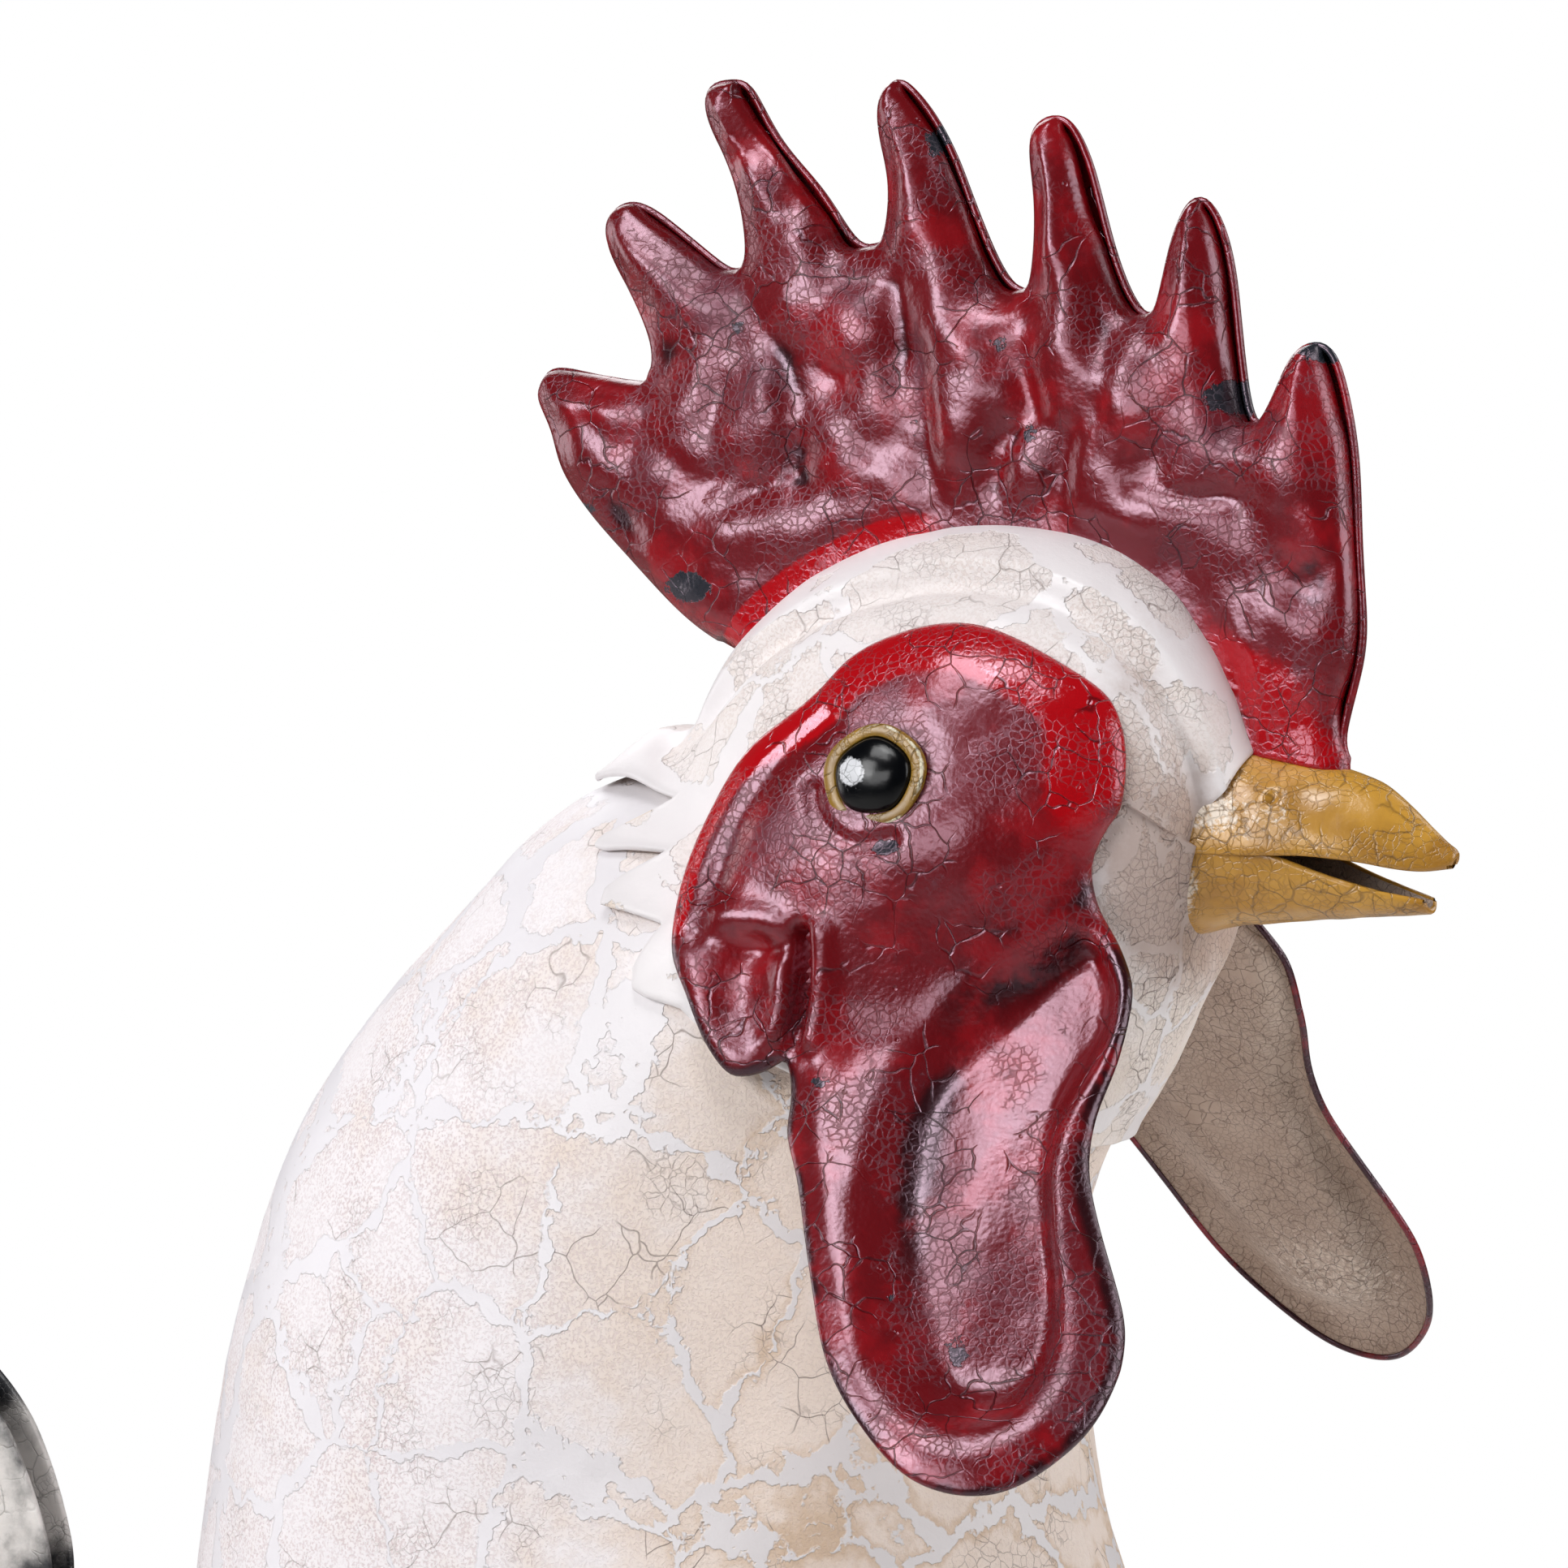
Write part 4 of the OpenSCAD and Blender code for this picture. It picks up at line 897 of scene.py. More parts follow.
COMB_LINE = [
    (12, 661), (2, 667), (-9, 677), (-16, 684), (-22, 692), (-24.5, 699), (-27, 704.5), (-26.5, 708), (-24, 710),
    (-17, 709.3), (-10, 708.2), (-6, 708), (-5, 709.5), (-5, 714), (-8, 721), (-12, 728), (-14, 733), (-13.3, 737),
    (-10, 739), (-6, 738), (-1.5, 735), (3, 731.7), (8, 728.3), (11, 727.3), (13, 730), (11, 741), (7, 750),
    (5.2, 755.5), (6.5, 758.8), (10, 759.6), (13.8, 758), (19, 750), (27, 741), (32, 734), (35.2, 731.2),
    (37.5, 731.2), (39.3, 733), (40, 741), (38.4, 749), (38.2, 755.5), (40.6, 758.9), (44.2, 758.1), (50, 751),
    (54.5, 741), (59, 731), (62.5, 725.3), (65, 723.6), (66.8, 725.3), (67.3, 736), (66.4, 745), (67, 750),
    (70.2, 752.3), (74.5, 750.6), (78, 742.5), (81, 732), (84, 724), (86.6, 720), (88.4, 719.2), (90, 721.3),
    (92, 730), (94.3, 736), (97, 738.3), (100.3, 736), (103.2, 727), (105, 714), (106, 705.5), (107.2, 701.6),
    (108.6, 701.4), (111, 705.5), (114, 711.5), (117.3, 713.8), (120.8, 712.6), (123.6, 706), (125.6, 695),
    (126.3, 682), (127, 669), (126.2, 660), (124.3, 652), (123.8, 647), (125.5, 643.5)]
# matt, finely crackled fields of the comb's paint: x, height, two radii, strength, turn
COMB_MATT = [
    (34, 724, 7, 6, 0.8, -20), (20, 742, 5, 6, 0.6, -40), (8, 724, 9, 5, 0.8, -30), (12, 718, 5, 4, 0.8, 0),
    (100, 698, 9, 7, 0.7, 0), (104, 680, 9, 7, 0.6, 0), (112, 666, 7, 10, 0.6, 0), (49, 705, 1.6, 13, 0.9, 2),
    (68, 711, 4, 3, 0.8, 0), (17, 706, 4, 5, 0.5, 0), (38, 694, 6, 3, 0.5, -40), (95, 678, 5, 4, 0.5, 0)]
# bare places where the comb's lacquer has chipped off
COMB_CHIPS = [
    (105.5, 705, 6, 3.5, 1.0), (120.6, 713, 4.5, 2.6, 1.1), (5.5, 672.5, 6, 3.0, 1.1), (50, 749, 3, 5, 0.75),
    (64, 714, 3, 3, 0.6), (69.5, 699, 3, 4, 0.6), (14, 717, 3, 3, 0.6), (48, 700, 3, 4, 0.55), (-16, 686, 5, 2, 0.6)]
# lumps beaten into the comb from inside: x, height, two radii, rise, turn, fullness
COMB_DOMES = [
    (-18.5, 704.3, 5, 4.2, 1.0, -10, 1.5), (-9.5, 702.5, 5, 4, 0.9, -20, 1.5), (-13.5, 695, 5.5, 4, 1.2, -40, 1.5),
    (-3, 691, 7, 4.2, 1.2, -40, 1.5), (-8, 732.5, 5, 4.5, 0.8, -45, 1.5), (-1, 726, 5.5, 4.2, 1.0, -45, 1.5),
    (6, 720.5, 6, 4, 1.0, -20, 1.5), (5.5, 700.5, 4.6, 6.5, 1.8, 5, 1.6), (16, 698, 5, 7, 2.0, -25, 1.6),
    (8, 711, 5, 5, 0.8, 0, 1.5), (10.5, 682.5, 6.5, 8.5, 2.0, 12, 1.7), (22.5, 683, 6.5, 4.4, 1.6, 15, 1.6),
    (0, 681, 4.2, 6, 1.0, -35, 1.5), (12.5, 752, 4.5, 4.5, 0.9, 0, 1.5), (18.5, 742.5, 5.6, 5, 1.0, -40, 1.5),
    (26.5, 732.5, 4.4, 4.6, 1.3, 0, 1.5), (27, 721, 5, 5, 1.4, 0, 1.5), (36, 716.5, 5.2, 5.6, 2.2, 0, 1.7),
    (20, 705, 2.4, 6, 0.9, 15, 1.4), (40, 704.5, 6.4, 5.6, 1.7, -20, 1.6), (33.5, 696.5, 8, 3.8, 1.4, -38, 1.5),
    (34, 686.5, 8, 4.6, 1.1, -12, 1.5), (45.3, 747, 3.6, 10, 1.0, 6, 1.5), (47, 733, 4, 7, 1.0, 0, 1.5),
    (53.5, 727, 3.6, 9, 1.2, 6, 1.5), (50.5, 720, 4.4, 5.6, 1.0, 0, 1.5), (57.5, 704, 6, 13, 3.0, 4, 2.0),
    (66, 705, 3, 4, 1.0, 0, 1.5), (75.5, 709, 5, 9.5, 2.2, 4, 1.8), (76.5, 724, 3.6, 9, 1.2, 3, 1.5),
    (73.5, 742, 3.6, 8, 0.9, 2, 1.5), (72.5, 731.5, 3.6, 5, 0.9, 0, 1.5), (70, 693.5, 3.6, 7.2, 1.6, -3, 1.7),
    (86.5, 705.5, 6, 7.5, 2.2, 10, 1.7), (81.5, 692.5, 5, 8, 1.9, -5, 1.7), (91, 684.5, 7, 6.4, 1.9, 20, 1.7),
    (103.5, 680.5, 6.5, 6, 1.3, 0, 1.6), (97, 715, 4.2, 8, 1.1, -8, 1.5), (97.5, 729, 3.6, 6, 0.8, -8, 1.5),
    (101, 697, 8, 6.4, 1.2, 0, 1.7), (113, 692, 4.8, 7.4, 1.4, -12, 1.6), (117.5, 705, 3.8, 7, 0.9, -8, 1.5),
    (110, 668, 6, 8, 1.4, 10, 1.6), (108, 654.5, 6.5, 6.5, 1.2, 0, 1.5), (61.5, 715.5, 6, 4, 0.8, 0, 1.5),
    (46, 689.5, 4, 7, 0.9, 0, 1.5), (118, 686, 4.6, 7, 0.7, 0, 1.5), (87, 720, 4, 6, 0.7, -10, 1.5),
    (20, 672, 8, 4, 0.7, 25, 1.5)]
# hollows between the lumps: x, height, two radii, rise, turn
COMB_HOLLOWS = [
    (-14, 699.7, 4, 2.2, -0.7, -40), (-7.5, 697, 2.2, 4, -0.9, -40), (-7.5, 685, 6, 2.6, -0.9, -45),
    (1, 711, 2.6, 7, -1.0, -25), (10.5, 691.5, 3, 3, -1.1, 0), (16.5, 688.5, 5, 2, -1.1, 20),
    (10.8, 705.5, 2, 6, -0.9, -10), (25.5, 694, 2.8, 4.6, -1.4, 0), (13, 746.6, 5, 1.5, -0.7, 10),
    (23.5, 712, 2, 9, -1.1, 20), (33, 708.5, 2.2, 5, -1.3, 30), (36, 723.7, 6, 1.5, -0.9, 0),
    (30.8, 716, 1.5, 5.4, -0.8, 0), (45, 712, 2, 13, -1.4, 3), (51, 704, 1.6, 11, -1.6, 3),
    (28.5, 690.5, 5, 1.8, -0.9, -30), (62.8, 692, 2.4, 6, -1.2, 0), (65, 698.8, 3, 2.2, -1.0, 30),
    (70.3, 704.5, 1.5, 8, -1.3, 12), (81.5, 718, 1.6, 10, -1.3, 6), (75.8, 694.5, 1.5, 8, -1.3, -5),
    (81.2, 702.5, 1.3, 6, -1.0, 5), (99.5, 688.7, 8, 1.8, -1.6, -12), (93, 698, 1.8, 6, -0.9, -20),
    (91, 714, 2.4, 6, -0.7, -10), (118.5, 676.5, 5, 5, -1.4, 0), (106.5, 674, 2.4, 5, -0.9, 25),
    (105.5, 714, 2.2, 8, -0.7, 0), (97, 676.5, 3, 4.5, -0.8, 30), (50.5, 745, 1.4, 9, -0.8, 20),
    (108, 686, 1.8, 6, -0.8, -10), (16, 690, 2, 6, -0.6, 0)]


# places where the comb's two halves stand apart at the edge
COMB_GAPES = [(54, 744, 2.5, 7, 1.0, 28), (22, 746, 2.5, 5, 1.0, 40), (-4, 708, 5, 2, 0.6, 0)]


@dataclass
class Comb:
    """The comb of two beaten halves that meet at their outline and stand on the head and the beak."""

    step: float = 1.0
    lump_rise: float = 1.1
    lump_width: float = 1.12
    # half the thickness above the root, and the width over which it rounds off to the edge
    full: float = 6.8
    rounding: float = 8.0
    # where along its foot the comb passes from the head on to the beak
    over: float = 0.84

    def foot(self) -> np.ndarray:
        """Return the line on which the comb stands: over the skin from u 5.2 to 0, then on the beak's ridge."""
        v = np.linspace(0, 1, 90)
        half = COMB_HALF * (1 - 0.5 * v**3)
        u = np.clip(5.2 * (1 - v / self.over), 0, None)
        lift = HEAD_OFF * ease(u, 0, 2)
        w = spline(SECTIONS, u)[..., 4] + lift
        head = SKIN.point(u, np.degrees(np.arcsin(np.minimum(half / w, 0.9))), lift + LAP + SHEET)
        s = spline(BEAK, np.clip((v - self.over) / (1 - self.over) * 2.1, 0, None))
        c = np.cos(np.arcsin(np.minimum(half / s[..., 4], 0.9)))
        beak = join(s[..., 2] + (s[..., 0] - s[..., 2]) * c, half, s[..., 3] + (s[..., 1] - s[..., 3]) * c + LAP)
        return np.where((v <= self.over)[:, None], head, beak)

    def outline(self, side: Side) -> tuple[np.ndarray, np.ndarray]:
        """Return the free outline and the foot line in the side view.

        The near half's edge stands back in places.
        """
        foot = self.foot()
        free = even_curve(COMB_LINE, self.step)
        free = np.concatenate([[foot[0, [0, 2]]], free[4:-2], [foot[-1, [0, 2]]]])
        away = np.gradient(free, axis=0)
        away = unit(join(-away[:, 1], away[:, 0]))
        p3 = join(free[:, 0], 0.0, free[:, 1])
        if side is Side.LEFT:
            grow = 0.15 + 0.3 * DENTS.at(p3, 13.0)
        else:
            grow = -1.35 * ease(away[:, 0], 0.15, 0.75) * (1 + 0.5 * DENTS.at(p3 + 9, 11.0))
            grow = grow - 0.25 * ease(free[:, 1], 715, 740)
        count = np.arange(len(free))
        grow = grow * ease(count, 0, 12) * ease(count[::-1], 0, 12)
        return free + away * grow[:, None], even_curve(foot[:, [0, 2]].tolist(), self.step)[1:-1]

    def relief(self, p: np.ndarray, free: np.ndarray, base: np.ndarray, side: Side) -> dict[str, np.ndarray]:
        """Work out the half thickness and the marks of the paint at points of the side view.

        The half thickness is the root height eased over the distance to the free outline, times a
        quarter round, plus the lumps beaten from inside, the hollows between them and light noise.

        Args:
            p: points as x and height.
            free: the free outline.
            base: the foot line.
            side: the side of the bird.

        Returns:
            The thickness under y and the marks of the paint: paint pooling and painted shade in the hollows, the
            bright red, the chips, and the dusting.
        """
        left = side is Side.LEFT
        edge = off_path(p, free)
        low = off_path(p, np.concatenate([free[:1], base, free[-1:]]))
        q = join(p[..., 0], 40.0 if left else 0.0, p[..., 1])
        root = np.interp(p[..., 0], base[:, 0], np.linspace(COMB_HALF, 4.6, len(base)))
        full = root + (self.full - root) * ease(low, 0, 30) - 1.6 * ease(low, 28, 75)
        round_off = np.sqrt(1 - (1 - np.clip(edge / self.rounding, 0, 1)) ** 2)
        beaten = 0.4 * DENTS.at(q, 7.0) + 0.13 * DENTS.at(q + 50, 3.5)
        r = p + 1.3 * join(DENTS.at(q + 20, 8.0), DENTS.at(q + 70, 8.0))
        k = self.lump_width
        for x, z, rx, rz, rise, turn, sharp in COMB_DOMES:
            beaten = beaten + mound(r, x, z, rx * k, rz * k, rise * self.lump_rise, turn, 1 + (sharp - 1) * 0.4)
        for x, z, rx, rz, rise, turn in COMB_HOLLOWS:
            beaten = beaten + mound(r, x, z, rx + 1.1, rz, rise * self.lump_rise * 0.75, turn)
        beaten = beaten * ease(edge, 0.5, 5.0) * ease(low, 0.5, 7)
        if left:
            full = full * (1 - 0.3 * ease(low, 8, 30))
            beaten = beaten * (1 - 0.5 * ease(low, 8, 30))
        lip = 0.5 * bell(edge - 1.1, 0.8) * ease(low, 4, 12)
        gape = 0.0 if left else 1.5 * ease(edge, 3.5, 0.5) * sum(mound(p, *d, 2.0) for d in COMB_GAPES)
        y = SEAM + np.maximum(full * round_off, 0) + beaten + lip + gape
        y = np.maximum(y, SEAM + 0.35 * ease(edge, 0, 1.0) + gape)
        bright = 1.1 * ease(low, 5.5, 2.5) * ease(p[..., 0], 56, 40) + mound(p, 109, 650, 11, 13, 1.2)
        bright = bright + 0.3 * ease(low, 9, 2)
        chip = sum(mound(p, *d) for d in COMB_CHIPS)
        dust = 0.05 + 0.25 * DENTS.layers(q, 26.0, 2) + 0.85 * sum(mound(p, *d, 1.5) for d in COMB_MATT)
        # the hollows between the beaten lumps get paint pooling and painted shade
        return {"y": y, "hollow": ease(-beaten, 0.0, 1.4), "bright": bright, "chip": chip, "dust": np.clip(dust, 0, 1)}

    def build(self, paints: Paints) -> None:
        """Build both halves from the outline and the relief."""
        for side in Side:
            free, base = self.outline(side)
            cut = Pressing(np.concatenate([free, base[::-1]]), self.step)
            marks = self.relief(cut.flat, free, base, side)
            shape = cut.shape(marks.pop("y"), SHEET, (0, 0, 0), **marks)
            shape.make(f"comb_{side.word}", "half", side, [paints.crimson], "crimson_lacquer")


FACE_LINE = [
    (66, 667.7), (76.2, 665.4), (87.5, 659.5), (93.4, 654.2), (95.9, 646.3), (95.7, 638.4), (94.1, 635.0),
    (91.6, 629.7), (91.2, 625), (92.4, 620.3), (95.5, 615.8), (98.8, 610.8), (100.3, 605.7), (100.1, 596.9),
    (98.6, 589.2), (98.8, 581.7), (100.8, 575.5), (104.2, 568.1), (108.1, 559.5), (109.6, 553.4), (109.4, 547.3),
    (107.8, 541.4), (104.4, 536.7), (99.6, 532.9), (94.1, 531.4), (88, 532.1), (81, 535.3), (72.8, 542.3),
    (65.9, 550.5), (61.1, 560), (56.7, 569.6), (52.5, 578.1), (48.9, 584.2), (47.7, 589.2), (46.3, 594.0),
    (44.9, 595.8), (42.7, 594.4), (38.7, 593.2), (35.1, 594.6), (31, 599.8), (27.5, 606.5), (24.4, 612.2),
    (23.2, 618.7), (23.1, 626.6), (25, 634.6), (30.1, 644.7), (36.9, 650.9), (43.5, 656.4), (48.2, 661.8),
    (56.2, 665.9)]
EYE_X, EYE_Z = 0.228 * BODY_L, 0.944 * CROWN_H


# bare places on the face plate: x, height, two radii, strength
FACE_CHIPS = [(61.5, 631.2, 3.4, 1.6, 0.95), (84, 552, 4, 4.5, 0.62), (73, 560, 2, 1.5, 0.6), (53, 593, 4, 1.6, 0.6),
              (93.5, 628, 1.5, 3, 0.5)]
# middle of the wall round the dished wattle
BOWL = [(101, 623), (92, 618.5), (84, 611.5), (76, 604), (70, 597), (66.5, 590), (66.5, 580), (69.3, 570), (72.8, 560),
        (77.2, 551), (83, 545.5), (90.5, 543.3), (96.5, 546), (98.7, 553), (97.6, 562), (94.8, 572), (92.6, 582),
        (93.5, 591), (99, 599), (108, 605), (112, 616)]
# ridge that runs down behind the wattle and round its lower end
CREST = [(54, 600), (54, 590), (57, 580), (61.5, 570), (66, 560), (71, 550), (79, 542), (90, 538), (100, 541.5),
         (104, 550), (103, 560), (99.5, 571), (97, 582)]
# folds as path, width and rise: the crest, the lobe's upper, front and rear ridge, the slit between the
# last two, the valley behind the cheek and the one under the eye
FACE_FOLDS = [
    (CREST, 3.2, 0.8), ([(29, 620), (35, 619.5), (42, 618)], 3.0, 1.4),
    ([(44.5, 612), (44.8, 604), (43, 598)], 1.8, 1.2), ([(51.3, 617), (51.6, 608), (50.5, 600)], 2.4, 1.5),
    ([(47.6, 617), (48.2, 610), (47.6, 603), (46.5, 598)], 1.3, -3.4),
    ([(28.5, 617), (31, 626), (33.5, 634), (37.5, 641.5), (42, 647), (47.5, 652)], 2.8, -1.7),
    ([(47.2, 640), (49.5, 635), (55.5, 631.5), (62, 632.5)], 1.7, -1.5)]
# mounds as x, height, two radii, rise, turn and fullness: two on the cheek, two hollows of the lobe, the
# middle of the dish and the socket under the eye
FACE_MOUNDS = [
    (56, 630, 22, 20, 2.6, -20), (74, 632, 16, 12, 1.2), (39.5, 614, 5, 3.4, -2.6), (36.5, 606, 5, 7, -2.6),
    (81, 578, 8, 26, 1.4, 8), (EYE_X, EYE_Z, 11, 11, -1.0, 0, 2.0)]


@dataclass
class FacePlate:
    """The face plate: cheek, ear lobe and wattle pressed from one sheet that hugs the head and flares below."""

    step: float = 0.95
    flare: float = 40.0
    # rolled edge: rise and width; depth of the wattle's dish
    roll: float = 2.9
    roll_w: float = 7.0
    dish: float = 6.4

    def lie(self, x: np.ndarray, z: np.ndarray, side: Side = Side.RIGHT) -> np.ndarray:
        """Return how far out the plate lies: the softened larger of the head's side and the flaring plane.

        The left wattle was bent out a little more by hand, and more so at its front edge.
        """
        t = (0.881 * CROWN_H - z) / (0.0735 * CROWN_H)
        low = np.clip(t, 0, 1)
        more = 0.16 * low if side is Side.LEFT else 0.0
        out = np.where(t < 0, 0.75 * self.flare * t, self.flare * (t + more))
        turn = 0.1 + (0.13 if side is Side.LEFT else 0.3) * low
        a = SKIN.head_side(x, z, HEAD_OFF + 1.5 * LAP + SHEET)
        b = 0.25 * BODY_W + out - turn * (x - 0.22 * BODY_L)
        k = 0.017 * BODY_W
        return np.maximum(a, b) + k * np.log1p(np.exp(-np.abs(a - b) / k))

    def relief_at(self, p: np.ndarray, edge: np.ndarray) -> np.ndarray:
        """Return the pressed relief: a rolled edge, the cheek, the dished wattle in its border and the lobe."""
        roll = self.roll * (np.sqrt(1 - (1 - np.clip(edge / self.roll_w, 0, 1)) ** 2) - 0.1)
        wall = 3.0 + 2.2 * ease(p[..., 0], 87, 76) + 1.4 * ease(p[..., 1], 580, 600)
        dish = -self.dish * ease(depth_in(p, even_curve(BOWL, 2.0, True)) / wall, -1, 1)
        pressed = dish + sum(fold(p, *f) for f in FACE_FOLDS) + sum(mound(p, *m) for m in FACE_MOUNDS)
        return roll + pressed * ease(edge, 0.5, 6.0)

    def top(self, x: np.ndarray, z: np.ndarray) -> np.ndarray:
        """Return the outer face of the plate at x and z."""
        p = join(x, z)
        ring = even_curve(FACE_LINE, 1.5, True)
        return self.lie(x, z) + self.relief_at(p, off_path(p, np.concatenate([ring, ring[:1]])))

    def build(self, paints: Paints) -> None:
        """Build both plates from the outline and the relief."""
        ring = even_curve(FACE_LINE, self.step, True)
        cut = Pressing(ring, self.step)
        p = cut.flat
        edge = off_path(p, np.concatenate([ring, ring[:1]]))
        x, z = p[:, 0], p[:, 1]
        lift = self.relief_at(p, edge)
        top_rim = ease(edge, 11, 4) * ease(z, 633, 655) + mound(p, 90, 645, 5.5, 13, 0.9)
        rear_rim = ease(edge, 6, 2) * ease(x, 44, 30) * ease(z, 606, 625)
        # painted shade: on the sunken dish towards its rear wall, on the diagonal wall under the cheek and along the
        # edge below the cheek
        hollow = 0.7 * ease(-lift, 0.5, 3.2) * ease(x, 78, 70) + mound(p, 82, 614, 14, 6, 0.8, 40)
        hollow = hollow + 0.7 * ease(edge, 2.4, 0.6) * ease(z, 632, 615)
        # painted sheen: more of the dull mauve on the dish's floor and the lower cheek, where the lacquer catches the
        # light
        matt = mound(p, 82, 575, 14, 22, 0.3) + mound(p, 76, 634, 14, 16, 0.35)
        for side in Side:
            q = join(x, 30 * side.value, z)
            wave = 0.35 * DENTS.at(q, 14.0) + 0.14 * DENTS.at(q, 5.0)
            y = self.lie(x, z, side) + lift + wave * ease(edge, 0, 6) - 0.9 * ease(z, 575, 548)
            dust = 0.2 + 0.4 * DENTS.layers(q, 28.0, 2) + matt
            shape = cut.shape(y, SHEET, (0, 1, 0), hollow=np.clip(hollow, 0, 1),
                              bright=np.clip(top_rim + 0.9 * rear_rim, 0, 1.1),
                              chip=sum(mound(p, *d) for d in FACE_CHIPS), dust=np.clip(dust, 0, 1), tone=0.2,
                              worn=0.15 + mound(p, 90, 550, 18, 12, 0.3))
            shape.make(f"face_plate_{side.word}", "pressing", side, [paints.crimson, paints.taupe], "crimson_lacquer")


# ridge x and height, edge x and height, half width, from the root to the tip
BEAK = np.array([
    [0.412, 0.951, 0.394, 0.9252, 0.085], [0.450, 0.948, 0.440, 0.9250, 0.078],
    [0.484, 0.945, 0.476, 0.9250, 0.065], [0.512, 0.941, 0.510, 0.9235, 0.048],
    [0.538, 0.933, 0.537, 0.9215, 0.028], [0.560, 0.9255, 0.557, 0.9220, 0.011]])
BEAK = BEAK * np.array([BODY_L, CROWN_H, BODY_L, CROWN_H, BODY_W])
JAW = np.array([
    [0.380, 0.9030, 0.394, 0.9249, 0.083], [0.422, 0.9060, 0.438, 0.9247, 0.071],
    [0.478, 0.9080, 0.476, 0.9200, 0.056], [0.515, 0.9090, 0.514, 0.9155, 0.040],
    [0.543, 0.9098, 0.542, 0.9130, 0.018]])
JAW = JAW * np.array([BODY_L, CROWN_H, BODY_L, CROWN_H, BODY_W])


@dataclass
class Beak:
    """The two halves of the beak: arched sheets, open between them, with a rolled edge."""

    rows: int = 90
    cols: int = 72

    def half(self, table: np.ndarray, thin: float) -> np.ndarray:
        """Return a grid: the edge point plus ridge minus edge times cos phi, half width times sin phi."""
        t = np.linspace(0, len(table) - 1, self.rows)[:, None]
        phi = np.radians(np.linspace(-90, 90, self.cols))[None, :]
        s = spline(table, t)
        dx, dz = s[..., 0] - s[..., 2], s[..., 1] - s[..., 3]
        d = np.hypot(dx, dz)
        k = np.maximum(d - thin, d / 5) / d
        w = np.maximum(s[..., 4] - thin, s[..., 4] / 5)
        return join(s[..., 2] + dx * k * np.cos(phi) - 0.2, w * np.sin(phi), s[..., 3] + dz * k * np.cos(phi))

    def build(self, paints: Paints) -> None:
        """Build both halves with a nostril, a knob at the tip and the marks of worn paint."""
        root = np.clip(1.0 - np.arange(self.rows) / 20.0, 0, 1)[:, None]
        for name, table, up, bare in (("upper_beak", BEAK, 1.0, (113, 635.5, 9, 6)),
                                      ("lower_beak", JAW, -1.0, (105, 625, 4, 4))):
            outer = self.half(table, 0.0)
            y, z, side = outer[..., 1], outer[..., 2], outer[..., ::2]
            lump = 0.25 * DENTS.layers(outer, 7.0, 2)
            if up > 0:
                lump = lump + mound(side, 115.2, 638.8, 2.8, 2.2, 0.8) - mound(side, 115.2, 638.8, 1.0, 1.0, 1.5)
                lump = lump + mound(side, 143.5, 629.5, 2.5, 2.0, 0.5)
            out = unit(join(0.0, y, up * np.abs(z - outer[:, :1, 2]) + 0.3))
            outer = outer + out * lump[..., None]
            worn = 0.3 * root + 0.4 * DENTS.at(outer, 7.0) + mound(side, *bare, 0.5)
            tone = ease(np.abs(y), 0, 12) * 0.2 + 0.5 * ease(DENTS.layers(outer, 12.0, 2), 0, 0.8)
            s = Shape()
            s.sheet(outer, self.half(table, SHEET), parts=(0, 1, 0), worn=np.clip(worn, 0, 1), tone=tone)
            s.make(name, "sheet", None, [paints.ochre, paints.taupe], "beak_ochre")


@dataclass
class Eye:
    """The eye: a dome of black enamel in a painted ring, set on the face plate."""

    radius: float = 8.6
    pupil: float = 6.5
    rise: float = 4.6
    # the painted ring's middle, half width and height
    ring_r: float = 7.5
    ring_half: float = 1.25
    ring_rise: float = 0.55
    # worn places on the ring: direction and width in degrees, strength
    worn_at: tuple[tuple[float, float, float], ...] = (
        (25, 30, 0.75), (-8, 16, 0.6), (-62, 13, 1.0), (70, 14, 0.6), (200, 10, 0.5))

    def build(self, paints: Paints, face: FacePlate) -> None:
        """Build both eyes on rings round the middle: a flat ring, a groove and half an ellipsoid."""
        count = 26
        r = np.concatenate([np.linspace(0, self.pupil, count), np.linspace(self.pupil + 0.15, self.radius, 18)])
        r = r[:, None]
        a = np.linspace(0, 2 * np.pi, 97)[None, :-1]
        wobble = 1 + 0.035 * np.sin(2 * a + 1.0) + 0.02 * np.sin(5 * a)
        x = EYE_X + r * np.cos(a) * wobble
        z = EYE_Z + r * np.sin(a) * wobble
        seat = face.top(x, z)
        seat = seat[-1].mean() + 0.35 * (seat - seat[-1].mean())
        bulge = (self.rise - 1.4) * np.sqrt(np.clip(1 - (r / self.pupil) ** 2, 0, None))
        ring = self.ring_rise * np.sqrt(np.clip(1 - ((r - self.ring_r) / self.ring_half) ** 2, 0, None))
        front = join(x, seat + LAP + 0.5 + bulge + np.where(r > self.pupil, ring, 0), z)
        back = join(x, seat, z)
        worn = 0.8 * ease(r, 7.7, 8.5) * sum(
            much * bell(np.angle(np.exp(1j * (a - np.radians(at)))), np.radians(wide))
            for at, wide, much in self.worn_at)
        # painted highlight: a white spot left of the pupil's middle, where the lamp's reflection sits; it goes in
        # through the worn mark
        highlight_dab = mound(join(x, z), EYE_X - 2.7, EYE_Z + 0.7, 2.5, 2.5, 1.0, 0, 1.5)
        s = Shape()
        s.patch(front[:count], 0, True, worn=highlight_dab[:count])
        s.patch(front[count - 1:], 1, True, worn=worn[count - 1:], tone=0.3)
        s.patch(back, 1, True, True)
        s.patch(np.stack([front[-1], back[-1]]), 1, True)
        s.pair("eye_{}", "button", [paints.pupil, paints.ring], "eye_black")


